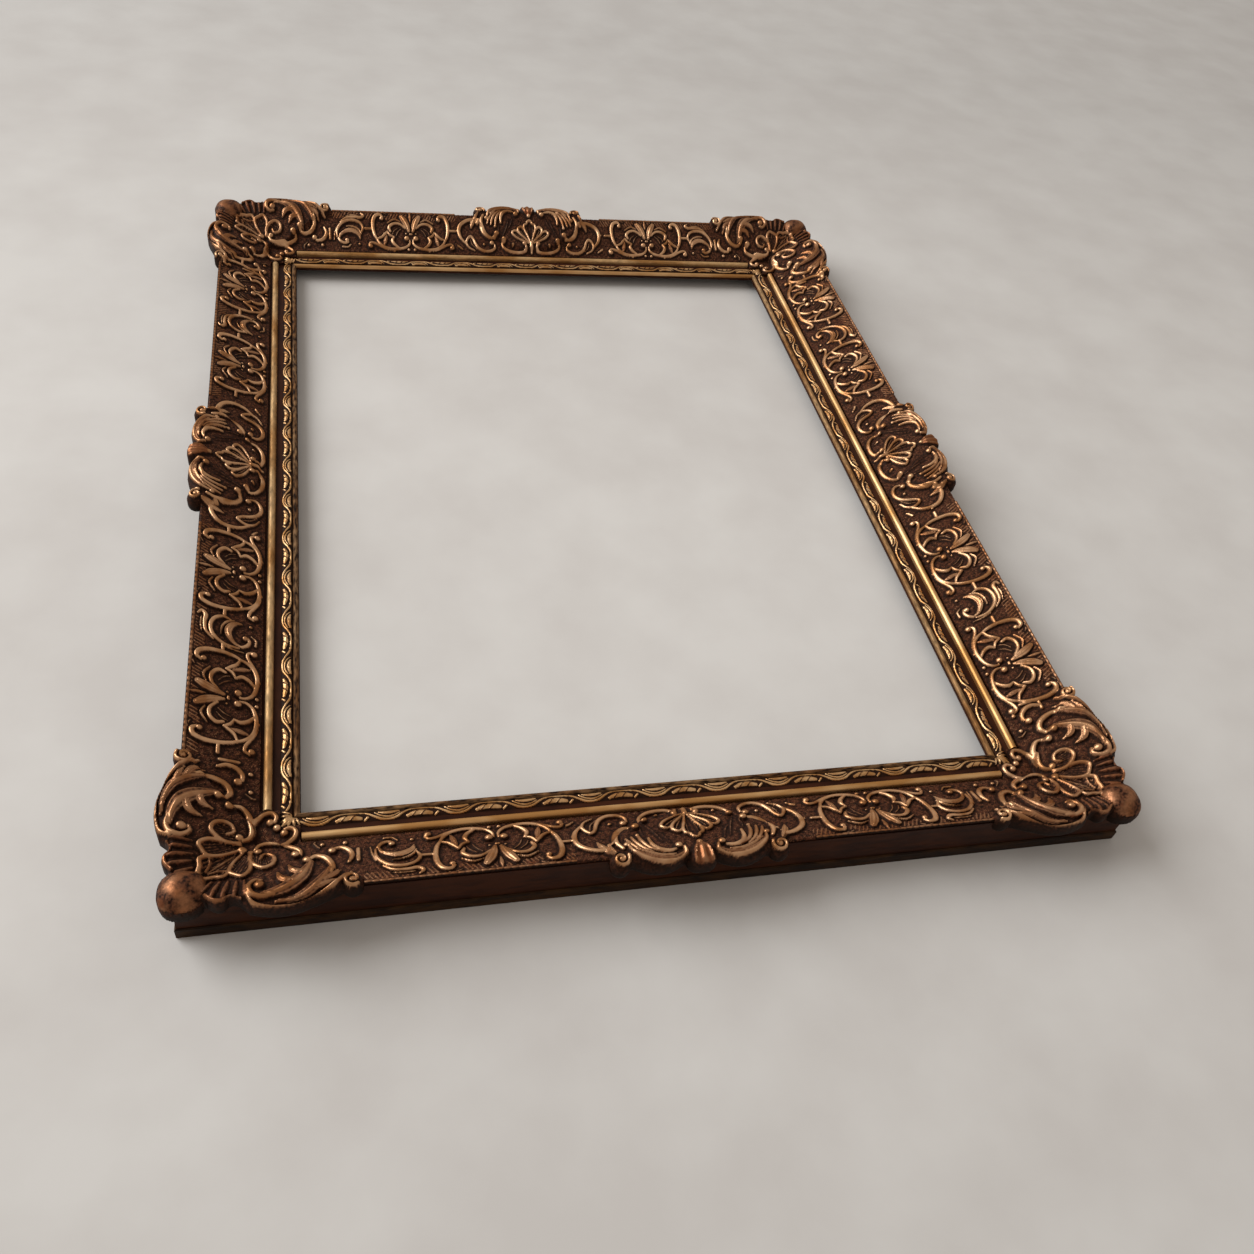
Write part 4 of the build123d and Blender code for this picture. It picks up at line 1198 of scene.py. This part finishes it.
def hatch(relief, outline):
    """Rays cut inside a closed outline."""
    inside = edge_distance_of(outline, relief.x, relief.y) > 0
    angle = np.arctan2(relief.y - hatch_origin[1], relief.x - hatch_origin[0])
    stripe = 0.5 + 0.5 * np.cos(angle * hatch_rays)
    low = inside & (relief.height < hatch_rise)
    gild = hatch_gild * smooth_step(*hatch_edge, stripe)
    # Painted shade, partly pooled paint: the dark mask fills the grooves between the rays.
    relief.set_where(low, height=hatch_rise * stripe, gild=gild, recess=1 - stripe)


def carve_corner(signs):
    raised, body, whole = corner_edges()
    span = (-corner_arm, knob_place + knob_radius + drawing_margin)
    grid = cast_grid(span, span, corner_cell, whole)
    along, out = folded(grid.x, grid.y)
    relief = Relief(along, out)
    strip = ("right" if signs[0] > 0 else "left") + "_scroll_strip_"
    strip += "2" if signs[0] * signs[1] > 0 else "1"
    long_arm = np.where(grid.x > grid.y, half_height + grid.y, 0)
    carve_motifs(relief, strip, long_arm, up_slope(out))
    relief.carve(tip_scrolls + acanthus + petals + fan)
    relief.carve(volute(*corner_volute, *corner_curl))
    for outline in petal_hatch:
        hatch(relief, outline)
    relief.pebbles()
    top, back, edge = over_crest(grid, relief, out, raised, body)
    top = np.where(out < field_inner, seat_low + tip_rise, top) + relief.height / slope_cos
    past_knob = snapped_edge(grid, knob_edge)
    from_knob = np.clip(1 - past_knob / knob_radius, 0, 1)
    bulge = knob_radius * (1 - from_knob**knob_fullness) ** (1 / knob_fullness)
    on_knob = (from_knob < 1) & ((edge < 0) | (knob_height + bulge > top))
    top = np.where(on_knob, knob_height + bulge, top)
    under = np.maximum(moulding_top - overhang_depth, knob_height - bulge)
    back = np.where(edge < 0, under, back)
    wave = patina_along * grid.x + patina_sway * np.sin(patina_across * grid.y)
    gild = knob_gild + patina_gild * (0.5 + 0.5 * np.sin(wave))
    # Painted shade, partly pooled paint: the dark mask grows toward the knob's rim, where it meets
    # the casting.
    recess = smooth_step(*knob_rim, from_knob) * (edge > 0)
    relief.set_where(on_knob, gild=gild, copper=knob_copper, recess=recess)
    return grid, top, back, relief


corners = {"near_left": (-1, -1), "near_right": (1, -1), "far_right": (1, 1), "far_left": (-1, 1)}
for name, signs in corners.items():
    piece = place_casting(name + "_corner_ornament", carve_corner(signs), corner_place(*signs))
print("corner ornaments:", len(piece.data.polygons), "faces each")

# %% [markdown]
# The narrow band is pressed with one pattern over and over: a ribbon that waves from edge to
# edge, a hatched leaf under each crest, and a bead and bud in each trough. One length of it is
# carved as a tile, whose pattern runs on over both of its ends.

# %% Ribbon tile
tile_length = 40.0
tile_cell = 0.45
tile_skin = 0.1
tile_back = 0.6
tile_ground_recess = 0.8
band_half = (band_outer - band_inner) / 2
band_dome = 1.0
ribbon = [
    line([(-9, -2.7, 0.5), (-3, -1.7, 0.6), (1, 0.6, 0.7), (4.6, 2.3, 0.8), (9.5, 2.8, 0.7),
          (14, 1.7, 0.7), (17.6, -0.6, 0.7), (21, -2.3, 0.6), (27, -2.8, 0.6), (34, -2.5, 0.5),
          (38, -1.0, 0.6), (41, 0.6, 0.7), (44.6, 2.3, 0.8)], 1.1),
    line([(1.4, -2.2, 0.4), (4, 0, 0.5), (8, 1.2, 0.6), (12, 0.8, 0.5), (15.6, -1.0, 0.4)], 0.9),
    plume([(3.6, -2.4, 0.6), (7, -1.5, 1.2), (11, -1.6, 1.3), (15, -2.5, 0.7)], 1.0, 1.0, 0.0),
    plume([(19.8, 1.8, 0.9), (24, 0.6, 1.7), (29, 0.5, 1.8), (33.6, 1.4, 1.2)], 1.1, 1.0, 0.0),
    line([(35.6, 2.6, 0.5), (37.4, 1.0, 0.7)], 0.9),
    vein([(22.6, 2.2, 0.4), (25.8, -1.0, 0.5)], 1.5, 0.1),
    vein([(27.4, 2.2, 0.4), (30.6, -1.0, 0.5)], 1.5, 0.1),
]


def band_surface(across):
    """Height of the band's round top; across is measured from its middle."""
    return band_top - band_dome * (across / band_half) ** 2


def make_tile():
    grid = cast_grid((0, tile_length), (-band_half, band_half), tile_cell, everywhere)
    relief = Relief(grid.x, grid.y)
    for shift in (-tile_length, 0, tile_length):
        relief.carve(ribbon, grid.x + shift, grid.y)
    # Painted shade, partly dark paint: the bare ground between the strokes takes most of the dark
    # mask.
    relief.recess[relief.height == 0] = tile_ground_recess
    dome = band_surface(grid.y)
    carved = grid, dome + tile_skin + relief.height, dome - tile_back, relief
    return shell_object("ribbon_tile", carved, lambda x, y: (x, y), ribbon_finish)


ribbon_tile = make_tile()
print("ribbon tile:", len(ribbon_tile.data.polygons), "faces")

# %% [markdown]
# Geometry Nodes set the tile in a row, stretched a little so that a whole number of tiles
# fills the side. The row then becomes the mesh of that side, and the tile itself is removed.

# %% Ribbon rows


def make_row_tree():
    """Sets copies of the incoming tile in a row along X."""
    inputs = {"Geometry": ["Tile"], "Int": ["Count"], "Float": ["Pitch"], "Material": ["Finish"]}
    outputs = {"Geometry": ["Row"]}
    tree, given, result = group_tree("row of tiles", inputs, outputs, "GeometryNodeTree")
    step = add(tree, "CombineXYZ", {"X": given["Pitch"]}).outputs[0]
    row = {"Count": given["Count"], "Offset": step}
    points = add(tree, "GeometryNodeMeshLine", row).outputs[0]
    fit = calculate(tree, "DIVIDE", given["Pitch"], tile_length * MM)
    stretch = add(tree, "CombineXYZ", {"X": fit, "Y": 1.0, "Z": 1.0}).outputs[0]
    copies = {"Points": points, "Instance": given["Tile"], "Scale": stretch}
    copies = add(tree, "GeometryNodeInstanceOnPoints", copies).outputs[0]
    real = add(tree, "GeometryNodeRealizeInstances", {0: copies}).outputs[0]
    finish = {"Geometry": real, "Material": given["Finish"]}
    finished = add(tree, "GeometryNodeSetMaterial", finish).outputs[0]
    fill(tree, result, {"Row": finished})
    return tree


def row_of_tiles(tile, tree, count, pitch):
    """The row as a plain mesh, in metres along X from zero."""
    modifier = tile.modifiers.new("row", "NODES")
    modifier.node_group = tree
    sockets = {item.name: item.identifier for item in tree.interface.items_tree}
    modifier[sockets["Count"]] = count
    modifier[sockets["Pitch"]] = pitch * MM
    modifier[sockets["Finish"]] = ribbon_finish
    made = tile.evaluated_get(bpy.context.evaluated_depsgraph_get())
    mesh = bpy.data.meshes.new_from_object(made)
    tile.modifiers.remove(modifier)
    return mesh


def place_mesh(mesh, place):
    """Move a mesh drawn in (along, outward) to its side, faces kept outward."""
    count = len(mesh.vertices)
    points = np.zeros(count * 3, np.float32)
    mesh.vertices.foreach_get("co", points)
    points = points.reshape(-1, 3)
    x, y = place(points[:, 0] / MM, points[:, 1] / MM)
    points[:, 0], points[:, 1] = x * MM, y * MM
    mesh.vertices.foreach_set("co", points.ravel())
    if mirrored(place):
        mesh.flip_normals()


def make_ribbons():
    tree = make_row_tree()
    middle = band_inner + band_half
    for side, axes in side_axes.items():
        run = 2 * axes.half_run
        count = round(run / tile_length)
        mesh = row_of_tiles(ribbon_tile, tree, count, run / count)
        rule = side_place(side)
        place_mesh(mesh, lambda x, y: rule(x - run / 2, y + middle))
        piece = put(side + "_ribbon_carving", mesh)
        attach(piece, "frame")
        print(piece.name, count, "tiles,", len(mesh.polygons), "faces")
    bpy.data.objects.remove(ribbon_tile)


make_ribbons()

# %% [markdown]
# Where two bands meet, a small leaf fans out over the mitre and hides the joint.

# %% Mitre leaves
leaf_cell = 0.45
leaf_rise = 0.3
leaf_ground_copper = 0.3
leaf_fan = [
    plume([(4.4, 4.4, 0.9), (7.4, 7.4, 1.7), (10.6, 10.6, 0.9)], 2.0, 1.0, 0.1),
    plume([(4.2, 5, 0.7), (6, 7.6, 1.3), (7, 10.8, 0.7)], 1.7, 1.0, 0.1),
    plume([(3.4, 5, 0.6), (3.6, 7.8, 1.1), (3.2, 10.6, 0.6)], 1.5, 0.9, 0.1),
    plume([(2.4, 4.8, 0.5), (1.4, 7.4, 0.9), (0.4, 9.8, 0.5)], 1.3, 0.9, 0.1),
]


def carve_mitre_leaf():
    def outline(x, y):
        along, out = folded(x, y)
        return np.minimum(along, within(band_inner, band_outer, out))

    grid = cast_grid((0, band_outer), (0, band_outer), leaf_cell, outline)
    along, out = folded(grid.x, grid.y)
    relief = Relief(along, out)
    relief.carve(leaf_fan)
    relief.copper[relief.height == 0] = leaf_ground_copper
    dome = band_surface(out - band_inner - band_half)
    return grid, dome + leaf_rise + relief.height, dome - tile_back, relief


carved_leaf = carve_mitre_leaf()
for name, signs in corners.items():
    place = corner_place(*signs)
    piece = shell_object(name + "_mitre_leaf", carved_leaf, place, ribbon_finish)
    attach(piece, "frame")
print("mitre leaves:", len(piece.data.polygons), "faces each")

# %% [markdown]
# The plain pieces keep their imported shapes and only need a finish. The bead and the fillet
# are gilded all over, and rubbed along their length; how much gold shows on each side is a
# painted light, lighter or darker with how the lamp falls there. The mouldings are painted dark
# umber. The back rails show stained wood with its grain, and the fittings are plated steel.

# %% Finishes of the plain pieces
along_x = (0.25, 1.0, 1.0)
along_y = (1.0, 0.25, 1.0)
# Painted light: how much gold each side's bead and fillet show stands in for how the lamp falls on
# that side.
bead_gild_and_side_light = {"near": 0.32, "left": 0.32, "right": 0.44, "far": 0.9}
trim_gild_and_side_light = {"near": 0.95, "left": 0.52, "right": 0.85, "far": 0.58}
trim_tones = {"Gold": srgb("b4814a"), "Gold Light": srgb("eec48c")}
trim_dull = 0.1
bead_copper, trim_recess = 0.2, 0.3
trim_scale = 70.0
fine_bump = 0.0001
band_masks = {"Gild": 0.3, "Copper": 0.6, "Recess": 0.6}
band_scale = 110.0
paint_look = (260.0, "3a1c0e", "240f08", fine_bump)
wood_look = (420.0, "38220f", "170c07", 2 * fine_bump)
broad_grain, fine_detail = 0.2, 5.0
streak_range = (0.15, 0.35)
gloss_range = (0.3, 0.7, 0.42, 0.6)
brushed, scratch_detail = (1.0, 1.0, 6.0), 4.0
tarnish = srgb("4a4642")
tarnish_range = (0.3, 0.7, 0.0, 0.35)
steel_range = (0.3, 0.7, 0.28, 0.45)


def grain_group():
    """Wood grain or brushed paint that runs along a stretched vector."""
    inputs = {"Vector": ["Vector"], "Float": ["Fine"], "Color": ["Light", "Dark"]}
    outputs = {"Color": ["Colour"], "Float": ["Height", "Gloss"]}
    tree, given, result = group_tree("running grain", inputs, outputs)
    coarse = calculate(tree, "MULTIPLY", given["Fine"], broad_grain)
    broad = noise(tree, given["Vector"], coarse)
    fine = noise(tree, given["Vector"], given["Fine"], fine_detail)
    streaks = remap(tree, calculate(tree, "MULTIPLY", broad, fine), *streak_range)
    colour = mix_colour(tree, streaks, given["Dark"], given["Light"])
    gloss = remap(tree, broad, *gloss_range)
    fill(tree, result, {"Colour": colour, "Height": fine, "Gloss": gloss})
    return tree


running_grain = grain_group()


def grained_material(name, stretch, fine, light, dark, bump):
    material, tree, shader = new_material(name)
    inputs = {"Vector": place_vector(tree, stretch), "Fine": fine}
    inputs |= {"Light": srgb(light), "Dark": srgb(dark)}
    group = add(tree, "Group", inputs, node_tree=running_grain)
    dress(tree, shader, group, bump, Roughness=group.outputs["Gloss"])
    return material


def steel_material(name, colour, brushing):
    material, tree, shader = new_material(name)
    scratches = noise(tree, place_vector(tree, brushed), brushing, scratch_detail)
    tone = mix_colour(tree, remap(tree, scratches, *tarnish_range), srgb(colour), tarnish)
    roughness = remap(tree, scratches, *steel_range)
    fill(tree, shader, {"Base Color": tone, "Roughness": roughness, "Metallic": 1.0})
    return material


def finish_node(node, material):
    mesh = nodes[node].data
    mesh.materials.clear()
    mesh.materials.append(material)


def finish_trim(side, stretch):
    """The bead and the fillet of a side, each with its own gilding, whose amount is painted light
    for that side.
    """
    for node, gild, rub in (("sight_bead", bead_gild_and_side_light, bead_copper), ("fillet", trim_gild_and_side_light, 0.0)):
        masks = {"Gild": gild[side], "Copper": rub, "Recess": trim_recess}
        name = side + " gilded " + node.removeprefix("sight_")
        look = (trim_scale, fine_bump, stretch, trim_dull)
        finish_node(side + "_" + node, gilded_material(name, masks, *look, **trim_tones))


def finish_sides():
    for run, sides, stretch in (("x", ("near", "far"), along_x), ("y", ("left", "right"), along_y)):
        name = "rubbed band along " + run
        band = gilded_material(name, band_masks, band_scale, fine_bump, stretch)
        paint = grained_material("umber paint along " + run, stretch, *paint_look)
        wood = grained_material("stained wood along " + run, stretch, *wood_look)
        for side in sides:
            finish_trim(side, stretch)
            finish_node(side + "_ribbon_band", band)
            finish_node(side + "_moulding", paint)
            finish_node(side + "_back_rail", wood)


def finish_fittings():
    nickel = steel_material("nickel plate", "b9b4aa", 900.0)
    zinc = steel_material("zinc plate", "a3a5a6", 700.0)
    plain = steel_material("plain steel", "8f8c86", 800.0)
    for node in nodes:
        if "turn_button" in node or "hanger" in node:
            finish_node(node, nickel if "hanger" in node else zinc)
        if node.endswith(("_nails", "_screws")):
            finish_node(node, plain)


finish_sides()
finish_fittings()
print("plain pieces finished")
